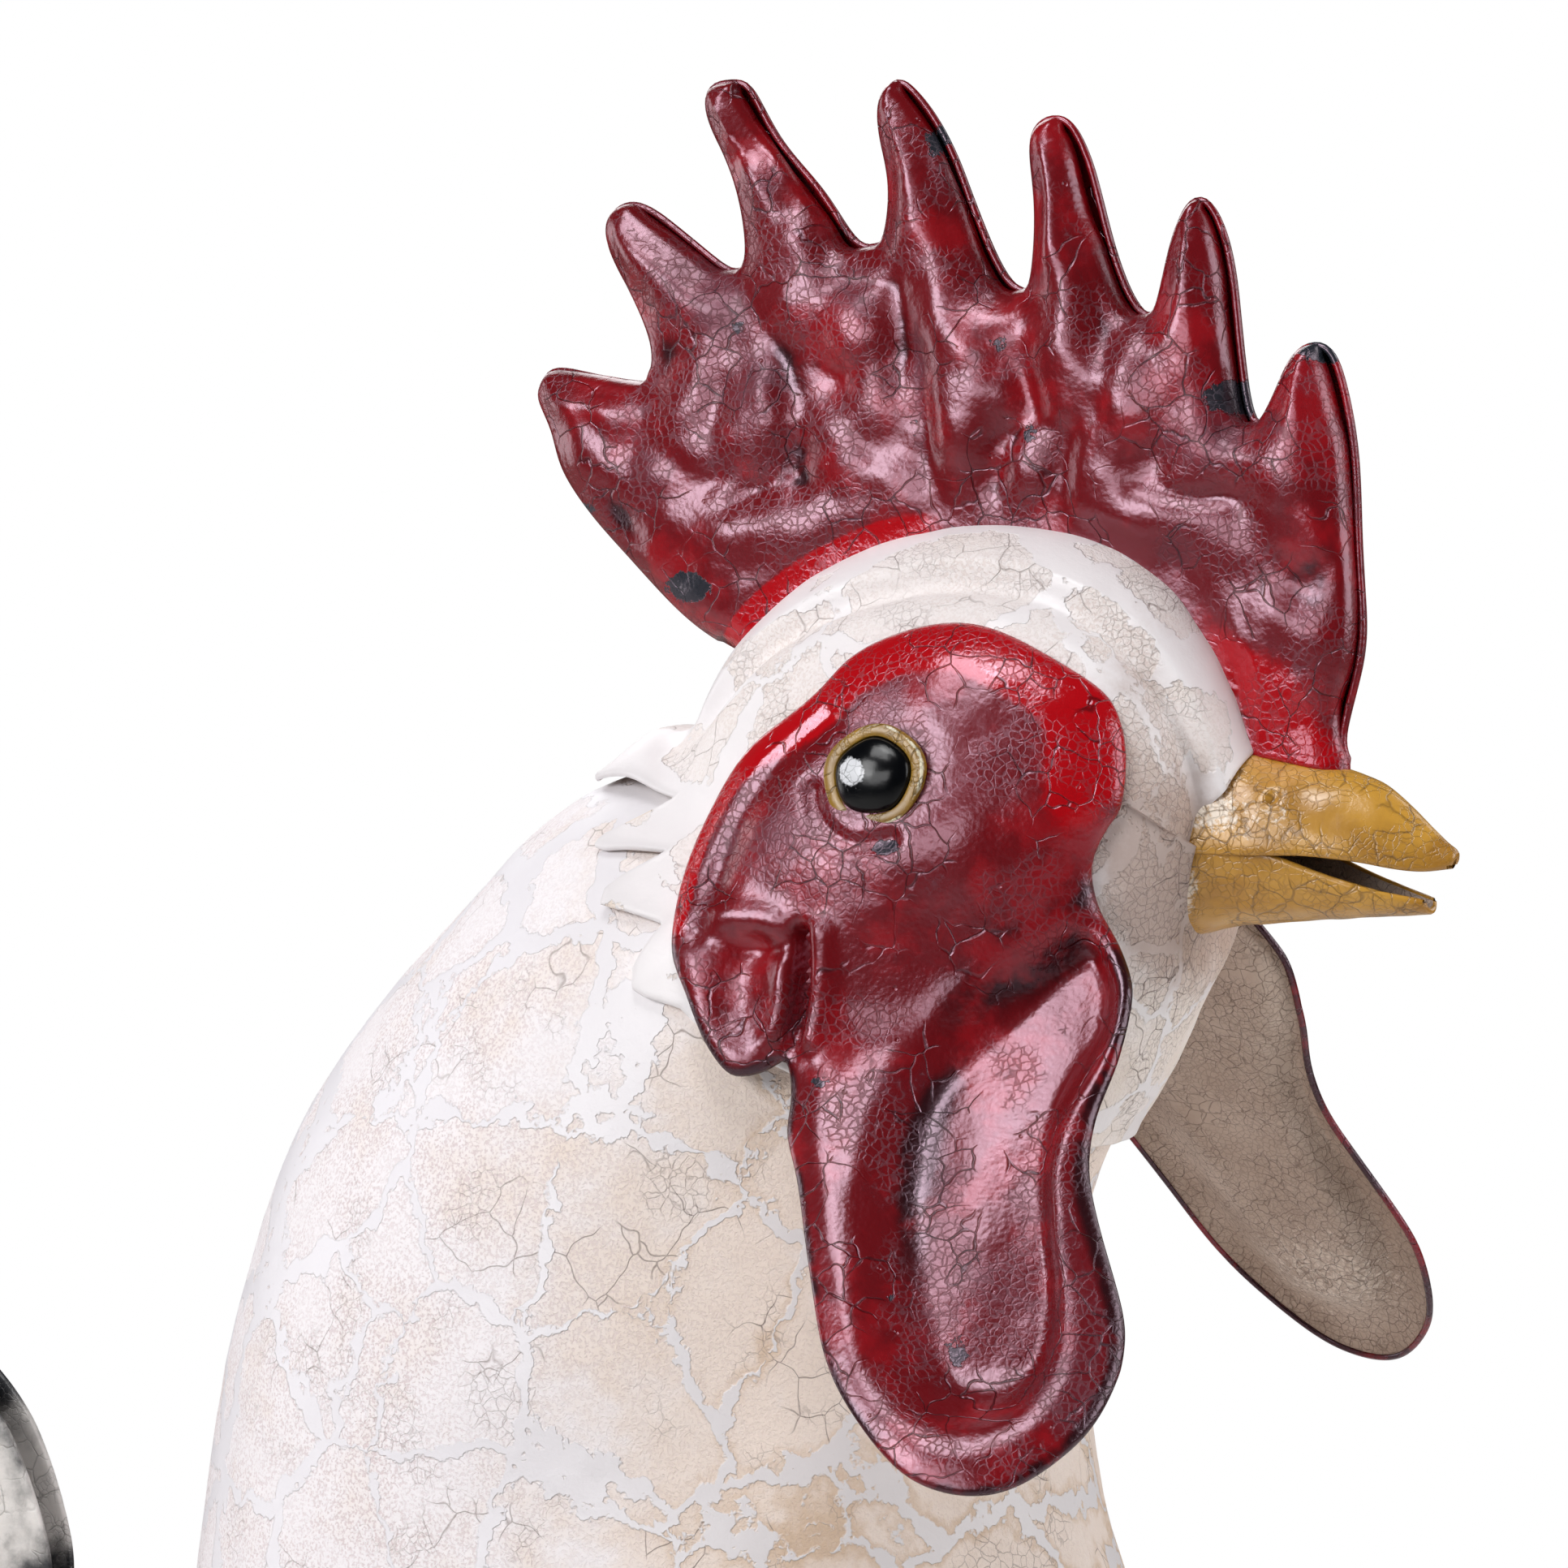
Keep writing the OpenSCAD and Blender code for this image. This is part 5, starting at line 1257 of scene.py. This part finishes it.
@dataclass
class Neck:
    """The neck cape of two halves, from under the head's collar to its cut tips over the shoulders."""

    rows: int = 190
    cols: int = 170
    # u where the cape starts, where its tips start and between two tips; a tip's length and their number
    start: float = 5.4
    root: float = 13.9
    gap: float = 14.32
    tip_l: float = 0.42
    tips: int = 12

    def build(self, paints: Paints) -> None:
        """Build both halves: skin plus the lap, broad dents and the edges of the stucco."""
        t = np.linspace(0, 1, self.rows)[:, None]
        phi = np.linspace(0, 180, self.cols)[None, :]
        tip = self.gap + self.tip_l * np.abs(np.sin(np.radians(phi * self.tips)))**0.7
        last = (t - 0.9) / 0.1
        u = np.where(last < 0, self.start + (self.root - self.start) * t / 0.9, self.root + (tip - self.root) * last)
        p = SKIN.base(u, phi)
        off = CAPE_OFF + 0.75 * DENTS.layers(p, 34.0, 2) * ease(u, 6.2, 7.5) * ease(u, 14.2, 13.0)
        off = off + 0.1 * DENTS.at(p, 5.0) + 0.9 * ease(t, 0.95, 1.0)
        outer = SKIN.point(u, phi, off)
        x, z = outer[..., 0], outer[..., 2]
        stain = ease(x, -30, 50) * 0.8 + ease(z, 560, 470) * ease(x, -10, 60) * 0.4 - 0.02
        plain = 0.8 * ease(z, 595, 640) + 0.3 * ease(x, -20, -75)
        # painted shade: the darker greyish brown on the throat, at the front under the head
        shape = half(outer, SKIN.point(u, phi, off - SHEET), stain=np.clip(stain, 0, 1), plain=np.clip(plain, 0, 1),
                     grime=0.35 * ease(x, 60, 105) * ease(z, 560, 600))
        shape.pair("neck_cape_{}", "sheet", [paints.white, paints.taupe], "white_paint")


@dataclass
class Body:
    """The body of two halves, from under the cape to the open end that the tail cap closes."""

    rows: int = 130
    cols: int = 130
    start: float = 13.4
    end: float = 22.0

    def build(self, paints: Paints) -> None:
        """Build both halves: skin with broad dents and rows of shallow pressed feathers."""
        u = np.linspace(self.start, self.end, self.rows)[:, None]
        phi = np.linspace(0, 180, self.cols)[None, :]
        scale = scales(u * 1.6, phi / 13)
        show = ease(u, 14.6, 15.2) * ease(u, 21.6, 21.0)
        off = 0.7 * DENTS.layers(SKIN.base(u, phi), 30.0, 2) * ease(u, 14.0, 15.0) * ease(u, 21.8, 21.0)
        off = np.minimum(off + (scale - 0.5) * show - 0.3, 0.4)
        # painted shade at the roots of the pressed feathers, where each row tucks under the one before
        shape = half(SKIN.point(u, phi, off), SKIN.point(u, phi, off - SHEET), plain=0.2,
                     stain=0.35 + 0.4 * ease(phi, 110, 170), grime=0.3 * ease(scale, 0.25, 0.0) * show)
        shape.pair("body_shell_{}", "sheet", [paints.white, paints.taupe], "white_paint")


@dataclass
class Wing:
    """The wing: five lapped flight feathers under an oval shield."""

    flight_phi0: float = 50.0
    pitch: float = 12.5
    root_u: float = 17.6
    # the shield's middle and half its size, as u and phi
    middle: tuple[float, float] = (16.95, 80.0)
    reach: tuple[float, float] = (1.65, 42.0)
    ends: tuple[float, ...] = (21.0, 21.4, 21.6, 21.3, 20.9)

    def feather(self, k: int) -> Shape:
        """Return one feather: a narrow band of the skin with a raised shaft and fine barbs."""
        t = np.linspace(0, 1, 110)[:, None]
        c = np.linspace(0, 1, 25)[None, :]
        u = self.root_u + (self.ends[k] - self.root_u) * t
        w = 1.14 * np.sqrt(np.clip(1 - ease(t, 0.72, 1.0) ** 2 * 0.999, 0, None))
        phi = self.flight_phi0 + self.pitch * (k + 0.57 + (c - 0.5) * w) + 3 * (u - self.root_u)
        shaft = bell(c - 0.5, 0.06)
        off = LAP + SHEET + 2.1 * c + 0.5 * (1 - np.abs(2 * c - 1)) + 0.55 * shaft * ease(t, 1.0, 0.9)
        barb = 0.1 * np.sin((t * 46 - np.abs(c - 0.5) * 3) * 2 * np.pi) * ease(np.abs(c - 0.5), 0.05, 0.2)
        s = Shape()
        s.sheet(SKIN.point(u, phi, off + barb), SKIN.point(u, phi, off - SHEET), parts=(0, 1, 0),
                tone=0.75 * ease(t, 0.55, 1.0) - 0.25, worn=0.25 * shaft)
        return s

    def build(self, paints: Paints) -> None:
        """Build the shields and feathers of both sides."""
        r = np.linspace(0, 1, 60)[:, None]
        a = np.linspace(0, 2 * np.pi, 161)[None, :-1]
        u = self.middle[0] + r * self.reach[0] * np.cos(a)
        phi = self.middle[1] + r * self.reach[1] * np.sin(a)
        scale = scales((u - 15.2) * 2.6, phi / 11)
        off = SHEET + LAP + 4.3 * ease(u, 15.6, 17.5)
        outer = SKIN.point(u, phi, off + 0.9 * (scale - 1.1) * ease(r, 1.0, 0.9))
        # painted shade at the roots of the shield's pressed feathers
        shield = dome(outer, SKIN.point(u, phi, off - SHEET), stain=0.4, plain=0.2, grime=0.4 * ease(scale, 0.25, 0.0))
        shield.pair("wing_shield_{}", "sheet", [paints.white, paints.taupe], "white_paint")
        for k in range(len(self.ends)):
            self.feather(k).pair(f"flight_feather_{{}}_{k + 1}", "sheet", [paints.tail, paints.taupe], "white_paint")


# distance from the middle, first and last heading, length, width, lean outwards
FEATHERS = {
    "tail_centre_feather": (0.00, 116, 205, 0.80, 1.05, 0),
    "tail_covert": (0.10, 104, 150, 0.36, 1.30, 2),
    "main_sickle": (0.20, 110, 262, 1.00, 1.00, 4),
    "second_sickle": (0.37, 119, 262, 0.87, 0.95, 8),
    "third_sickle": (0.54, 129, 262, 0.70, 0.88, 12),
    "low_sickle": (0.71, 149, 262, 0.52, 0.80, 16)}


@dataclass
class Tail:
    """The tail cap and the sickle feathers welded round it."""

    length: float = 300.0
    width: float = 33.0
    fold_depth: float = 2.6
    # short steps in which a feather's path turns, distance of its barbs, and how much fuller its lower vane is
    steps: int = 14
    barbs: float = 3.2
    fuller: float = 5.0

    def __post_init__(self) -> None:
        """Work out the cap's radius, middle and direction from the last section of the skin."""
        s = spline(SECTIONS, np.array(float(LAST)))
        self.mid = np.array([(s[0] + s[2]) / 2, (s[1] + s[3]) / 2])
        self.cap_r = math.hypot(s[0] - s[2], s[1] - s[3]) / 2
        self.angle = 90 + math.degrees(math.atan2(s[1] - s[3], s[0] - s[2]))

    def feather(self, f: tuple[float, ...]) -> tuple[np.ndarray, np.ndarray, np.ndarray, np.ndarray]:
        """Return the outer and inner grids, the share of the length and the shaft's mark.

        The path is the sum of short steps along a turning heading.
        """
        t = np.linspace(0, 1, 150)[:, None]
        c = np.linspace(-1, 1, 27)[None, :]
        y0 = max(f[0] * self.cap_r - SHEET / 2, 0)
        r = math.sqrt((self.cap_r + LAP * 0.7) ** 2 - y0 * y0)
        h0, ha = math.radians(f[1]), math.radians(self.angle)
        start = self.mid + np.array([math.cos(h0), math.sin(h0)]) * r + np.array([math.cos(ha), math.sin(ha)]) * LAP
        m = (np.arange(self.steps)[None, :] + 0.5) / self.steps
        h = np.radians(f[1] + (f[2] - f[1]) * (t * m) ** 1.5)
        long = f[3] * self.length
        path = start + long * t / self.steps * join(np.cos(h).sum(1), np.sin(h).sum(1))
        head = np.radians(f[1] + (f[2] - f[1]) * t**1.5)
        w = f[4] * self.width * np.sin(np.pi * (0.12 + 0.8 * t)) ** 0.7
        w = w * np.sqrt(np.clip(1 - ease(t, 0.9, 1.0) ** 2 * 0.98, 0, None))
        bend = self.fold_depth * np.sin(np.pi * np.minimum(t * 1.2, 0.5)) * (1 - np.abs(c)) * (f[0] > 0)
        shaft = bell(c, 0.07) * ease(t, 1.0, 0.85)
        barb = 0.12 * np.sin((t * long / self.barbs - np.abs(c) * 2.5) * 2 * np.pi)
        barb = barb * ease(np.abs(c), 0.1, 0.3) * ease(np.abs(c), 1.0, 0.75)
        full = (self.fuller if f[0] < 0.3 else 0.0) * ease(-c, -0.2, 1) * ease(t, 0.05, 0.3) * ease(t, 0.75, 0.45)
        x = path[:, :1] - np.sin(head) * (c * w / 2 - full)
        y = f[0] * self.cap_r + long * t * math.tan(math.radians(f[5])) + bend
        z = path[:, 1:] + np.cos(head) * (c * w / 2 - full)
        return join(x, y + SHEET / 2 + 0.5 * shaft + barb, z), join(x, y - SHEET / 2, z), t, shaft

    def cap(self) -> Shape:
        """Return the cap: half a hollow ball round the direction of the last section."""
        a = np.radians(np.linspace(0, 90, 40))[:, None]
        b = np.radians(np.linspace(0, 360, 97))[None, :-1]
        ha = math.radians(self.angle)
        grids = []
        for r in (self.cap_r, self.cap_r - SHEET):
            along, wide = r * np.cos(a) + LAP, r * np.sin(a) * np.cos(b)
            grids.append(join(self.mid[0] + math.cos(ha) * along - math.sin(ha) * wide, r * np.sin(a) * np.sin(b),
                              self.mid[1] + math.sin(ha) * along + math.cos(ha) * wide))
        return dome(*grids, stain=0.4, grime=0.3)

    def build(self, paints: Paints) -> None:
        """Build the cap and every feather."""
        self.cap().make("tail_cap", "dome", None, [paints.white, paints.taupe], "white_paint")
        for name, f in FEATHERS.items():
            outer, inner, t, shaft = self.feather(f)
            flat = outer[..., ::2]
            tone = 0.45 + 0.5 * ease(t, 0.1, 0.45) - mound(flat, -138, 505, 26, 17, 1.1, 30, 1.6)
            tone = tone - mound(flat, -190, 470, 30, 40, 0.5)
            for side in (Side if f[0] > 0 else [None]):
                p = outer + (side.value * 90 if side else 0)
                s = Shape()
                s.sheet(outer, inner, tone=tone + 0.4 * DENTS.layers(p, 30.0, 2),
                        worn=0.4 * shaft * ease(t, 0.0, 0.2) + 0.2 * DENTS.at(p, 16.0))
                s.make(f"{name}_{side.word}" if side else name, "blade", side, [paints.tail], "tail_paint")


LEG_U, LEG_PHI = 18.05, 150.0


# heading in degrees and share of the longest toe
TOES = ((-2, 1.0), (-25, 0.86), (34, 0.86), (-184, 0.66))
# radius and height round the socket of the foot, from its bottom over the rim to its floor
SOCKET = np.array([
    (0.0, 0.0), (10.6, 0.0), (11.4, 1.0), (11.0, 6.0), (9.6, 11.5), (9.0, 14.0), (8.3, 15.0), (7.0, 15.0), (6.8, 14.4),
    (6.8, 5.0), (0.0, 5.0)])


def close_ends(path: np.ndarray, grid: np.ndarray) -> np.ndarray:
    """Return the rings of a bar with the ends of its path added as points at both ends."""
    cols = grid.shape[1]
    return np.concatenate([path[:1, None].repeat(cols, 1), grid, path[-1:, None].repeat(cols, 1)])


def tube(path: np.ndarray, radius: np.ndarray, cols: int) -> np.ndarray:
    """Return a tube: circles across the path, closed to a point at both ends."""
    along = unit(np.gradient(path, axis=0))
    side = unit(np.cross(along, [0.02, 0.03, 1.0] if abs(along[0, 2]) < 0.8 else [0.0, 1.0, 0.02]))
    up = np.cross(side, along)
    a = np.linspace(0, 2 * np.pi, cols + 1)[None, :-1, None]
    ring = side[:, None] * np.cos(a) + up[:, None] * np.sin(a)
    return close_ends(path, path[:, None] + radius[:, None, None] * ring)


@dataclass
class Legs:
    """Thighs of sheet, rod legs with scales, spurs, the brace between them and feet with four toes."""

    rod: float = 13.0
    toe: float = 78.0
    foot_h: float = 15.0
    thigh_low: float = 0.30 * CROWN_H
    spur_at: float = 0.17 * CROWN_H + 3
    spur_l: float = 19.0
    scute: float = 7.5
    toe_r: float = 6.6

    def __post_init__(self) -> None:
        """Find where the rods meet the belly."""
        self.at = SKIN.base(np.array(LEG_U), np.array(LEG_PHI))

    def thigh(self) -> Shape:
        """Return the thigh: from an oval on the belly it narrows to a ring round the rod."""
        x0, y0, _ = self.at
        f = np.linspace(0, 1, 110)[:, None]
        a = np.linspace(0, 2 * np.pi, 97)[None, :-1]
        share = join(f**1.5, f**1.5, f)
        grids = []
        for thin in (0.0, SHEET):
            k = 1 - 2 * thin / y0
            ring = SKIN.point(LEG_U + 1.1 * k * np.cos(a), LEG_PHI - 4 + 20 * k * np.sin(a), LAP + 0.2 * SHEET)
            r = self.rod / 2 + 0.3 + SHEET - thin
            grids.append(ring + (join(x0 - r * np.cos(a), y0 - r * np.sin(a), self.thigh_low) - ring) * share)
        out = unit(grids[0] - grids[0].mean(1, keepdims=True))
        scale = scales(f * 8, a / (2 * np.pi) * 12)
        press = 3.0 * np.sin(np.pi * f) ** 2 * (1 - f) + 0.9 * (scale - 0.3) * ease(f, 0.02, 0.1) * ease(f, 0.98, 0.9)
        outer, inner = (g + out * press[..., None] for g in grids)
        s = Shape()
        # painted shade at the roots of the thigh's pressed feathers
        s.sheet(outer, inner, True, (0, 1, 0), stain=0.4 + 0.4 * f, grime=0.35 * ease(scale, 0.25, 0.0), plain=0.2)
        return s

    def shank(self) -> Shape:
        """Return the rod with grooves between its scales, from the socket into the belly."""
        x0, y0, z0 = self.at
        z = np.linspace(self.foot_h / 3 + 0.3, z0 + self.rod * 1.4, 400)
        scute = np.abs(((z - 20) / self.scute) % 1 - 0.5) * 2
        r = self.rod / 2 - 0.35 * ease(scute, 0.75, 1.0) * (z < 0.31 * CROWN_H) * (z > 18)
        grid = tube(join(x0, y0, z), r, 40)
        # painted shade: the darker second tone in the grooves between the scales
        tone = 0.3 * np.pad(ease(scute, 0.7, 1.0), 1)[:, None]
        s = Shape()
        s.patch(grid, 0, True, worn=0.25 + 0.3 * DENTS.at(grid, 14.0), tone=tone)
        return s

    def spur(self) -> Shape:
        """Return the spur: a short horn that rises to the rear."""
        t = np.linspace(0, 1, 70)
        path = join(self.at[0] - self.rod / 2 * 0.72 - self.spur_l * t, self.at[1], self.spur_at + 9 * t + 5 * t * t)
        s = Shape()
        s.patch(tube(path, 4.4 * (1 - t) ** 0.75 + 0.5, 30), 0, True, worn=0.2, tone=0.5)
        return s

    def foot(self) -> Shape:
        """Return the foot: knuckled toes with dark claws, flat below, round a turned socket."""
        x0, y0, _ = self.at
        t = np.linspace(0, 1, 120)
        claw = ease(np.concatenate([[0], t, [1]]), 0.8, 0.84)[:, None]
        s = Shape()
        for angle, share in TOES:
            d = np.radians(angle)
            reach = share * self.toe * t
            knuckle = 1 + 0.13 * np.cos(2 * np.pi * t * (3.5 if share > 0.8 else 2.2)) * ease(t, 0.95, 0.7)
            r = (self.toe_r - 3.2 * t) * knuckle * (1 - ease(t, 0.8, 1.0) * 0.85)
            lift = 9.0 * ease(t, 0.35, 0.0) + r * 0.8 + 1.8 * np.sin(np.pi * ease(t, 0.78, 1.0)) * (t > 0.78)
            grid = tube(join(x0 + reach * np.cos(d), y0 + reach * np.sin(d), np.minimum(lift, 9.5)), r, 36)
            grid[..., 2] = np.maximum(grid[..., 2], 0.0)
            s.patch(grid, 0, True, tone=0.9 * claw, worn=0.2)
        turn = np.linspace(0, 2 * np.pi, 73)[None, :-1]
        r, z = SOCKET[:, :1], SOCKET[:, 1:]
        s.patch(join(x0 + r * np.cos(turn), y0 + r * np.sin(turn), z), 0, True, tone=0.2, worn=0.3)
        return s

    def brace(self) -> Shape:
        """Return the flat bar between the rods, with rounded edges; the frame says where it lies."""
        low, high = (np.array(c) / MM - np.array([SHIFT_X, 0, 0]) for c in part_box("leg_brace"))
        t = np.linspace(0, 1, 60)
        path = join((low[0] + high[0]) / 2, low[1] + (high[1] - low[1]) * t, (low[2] + high[2]) / 2)
        a = np.linspace(0, 2 * np.pi, 49)[:-1]
        c, d = np.cos(a), np.sin(a)
        reach = (high - low)[:, None] / 2 * (np.abs(c) ** 6 + np.abs(d) ** 6) ** (-1 / 6)
        size = np.clip(np.minimum(t, 1 - t) * 40, 0.9, 1.0)[:, None]
        grid = join(path[:, :1] + reach[0] * c * size, path[:, 1:2], path[:, 2:] + reach[2] * d * size)
        s = Shape()
        s.patch(close_ends(path, grid), 0, True, tone=0.3)
        return s

    def build(self, paints: Paints) -> None:
        """Build everything below the belly."""
        self.thigh().pair("thigh_{}", "sheet", [paints.white, paints.taupe], "white_paint")
        self.shank().pair("leg_rod_{}", "shank", [paints.legs], "leg_ochre", 40)
        self.spur().pair("spur_{}", "horn", [paints.legs], "leg_ochre")
        self.foot().pair("foot_{}", "casting", [paints.legs], "leg_ochre", 40)
        self.brace().make("leg_brace", "bar", None, [paints.iron], "bare_sheet", 30)


# ---------------------------------------------------------------- studio


# place in millimetres, width and height in metres, power in watts
LAMPS = {
    "key box": ((-500, -1290, 1200), (0.6, 0.6), 14.0),
    "top box": ((190, -470, 1775), (0.42, 0.42), 5.0),
    "upper gloss box": ((-39, -825, 1771), (0.6, 0.6), 10.5),
    "lower gloss box": ((-14, -1422, 877), (1.05, 0.45), 8.5),
    "right box": ((1340, 350, 930), (0.9, 0.9), 10.5),
    "left box": ((-1400, -120, 760), (0.6, 0.9), 5.0),
    "back box": ((-700, 950, 1300), (0.8, 0.8), 5.0),
    "far box": ((700, 1100, 1200), (0.8, 0.8), 4.0)}


@dataclass
class Studio:
    """A white room of even light with eight soft boxes, a pale floor and the camera."""

    azimuth: float = 26.0
    elevation: float = 3.0
    distance: float = 1.2
    target: tuple[float, float, float] = (20.0, 0.0, 638.5)
    lens: float = 159.7
    # strength of the room's light for the camera, and on the bird and in its reflections
    seen: float = 1.0
    fill: float = 0.13
    mirrored: float = 0.05
    floor_r: float = 2.6

    def build(self) -> None:
        """Build world, lamps, floor and camera."""
        bpy.context.scene.view_settings.view_transform = "Standard"
        self.room()
        aim = (np.array(self.target) + [SHIFT_X, 0, 0]) * MM
        for name, (place, size, power) in LAMPS.items():
            lamp = bpy.data.lights.new(name, "AREA")
            lamp.shape = "RECTANGLE"
            lamp.size, lamp.size_y = size
            lamp.energy = power
            # the gloss boxes show only in reflections
            self.put(lamp, (np.array(place) + [SHIFT_X, 0, 0]) * MM, aim).visible_diffuse = "gloss" not in name
        self.floor()
        cam = bpy.data.cameras.new("camera")
        cam.sensor_width = 36.0
        cam.lens = self.lens
        az, el = math.radians(self.azimuth), math.radians(self.elevation)
        way = np.array([math.sin(az) * math.cos(el), -math.cos(az) * math.cos(el), math.sin(el)])
        bpy.context.scene.camera = self.put(cam, aim + way * self.distance, aim)

    def room(self) -> None:
        """Build a world that is white to the eye, dimmer as light and dimmest in reflections."""
        world = bpy.data.worlds.new("white room")
        bpy.context.scene.world = world
        world.use_nodes = True
        t = world.node_tree
        seen, gloss, clear = (add(t, "LightPath", None, f"Is {k} Ray") for k in ("Camera", "Glossy", "Transmission"))
        some = add(t, "Math", {0: seen, 1: clear}, operation="MAXIMUM")
        level = add(t, "MapRange", {0: some, 3: self.fill, 4: self.seen})
        level = add(t, "Math", {0: gloss, 1: self.mirrored - self.fill, 2: level}, **SUM)
        back = t.nodes["Background"]
        back.inputs["Color"].default_value = (1, 1, 1, 1)
        t.links.new(level, back.inputs["Strength"])

    def floor(self) -> None:
        """Build a round floor that turns to plain white for the camera away from the bird."""
        me = bpy.data.meshes.new("floor")
        a = np.radians(np.arange(0, 360, 5))
        ring = join(self.floor_r * np.cos(a), self.floor_r * np.sin(a), 0.0)
        me.from_pydata(ring.tolist(), [], [list(range(len(a)))])
        paint = bpy.data.materials.new("pale matt floor")
        paint.use_nodes = True
        t = paint.node_tree
        shader = t.nodes["Principled BSDF"]
        shader.inputs["Base Color"].default_value = linear("#f4f2ef")
        shader.inputs["Roughness"].default_value = 0.9
        far = add(t, "VectorMath", {0: add(t, "TexCoord", None, "Object")}, "Value", operation="LENGTH")
        far = add(t, "MapRange", {0: far, 1: 0.3, 2: 0.85}, **SMOOTH)
        far = add(t, "Math", {0: far, 1: add(t, "LightPath", None, "Is Camera Ray")}, **PRODUCT)
        white = add(t, "Emission", {"Strength": 1.0})
        both = add(t, "MixShader", {0: far, 1: shader.outputs["BSDF"], 2: white})
        t.links.new(both, t.nodes["Material Output"].inputs["Surface"])
        me.materials.append(paint)
        floor = bpy.data.objects.new("floor", me)
        bpy.context.collection.objects.link(floor)

    def put(self, data: bpy.types.ID, place: np.ndarray, at: np.ndarray) -> bpy.types.Object:
        """Return a new object with a lamp or a camera, set at a place and looking at a point."""
        ob = bpy.data.objects.new(data.name, data)
        bpy.context.collection.objects.link(ob)
        ob.location = Vector(place.tolist())
        ob.rotation_euler = Vector((at - place).tolist()).to_track_quat("-Z", "Y").to_euler()
        return ob


def main() -> None:
    """Build the paints, the bird from head to foot and the studio."""
    logging.basicConfig(level=logging.INFO, format="%(message)s")
    paints = Paints()
    face = FacePlate()
    for part in (Head(), Comb(), face, Beak(), Neck(), Body(), Wing(), Tail(), Legs()):
        part.build(paints)
    Eye().build(paints, face)
    Studio().build()


if __name__ == "__main__":
    main()
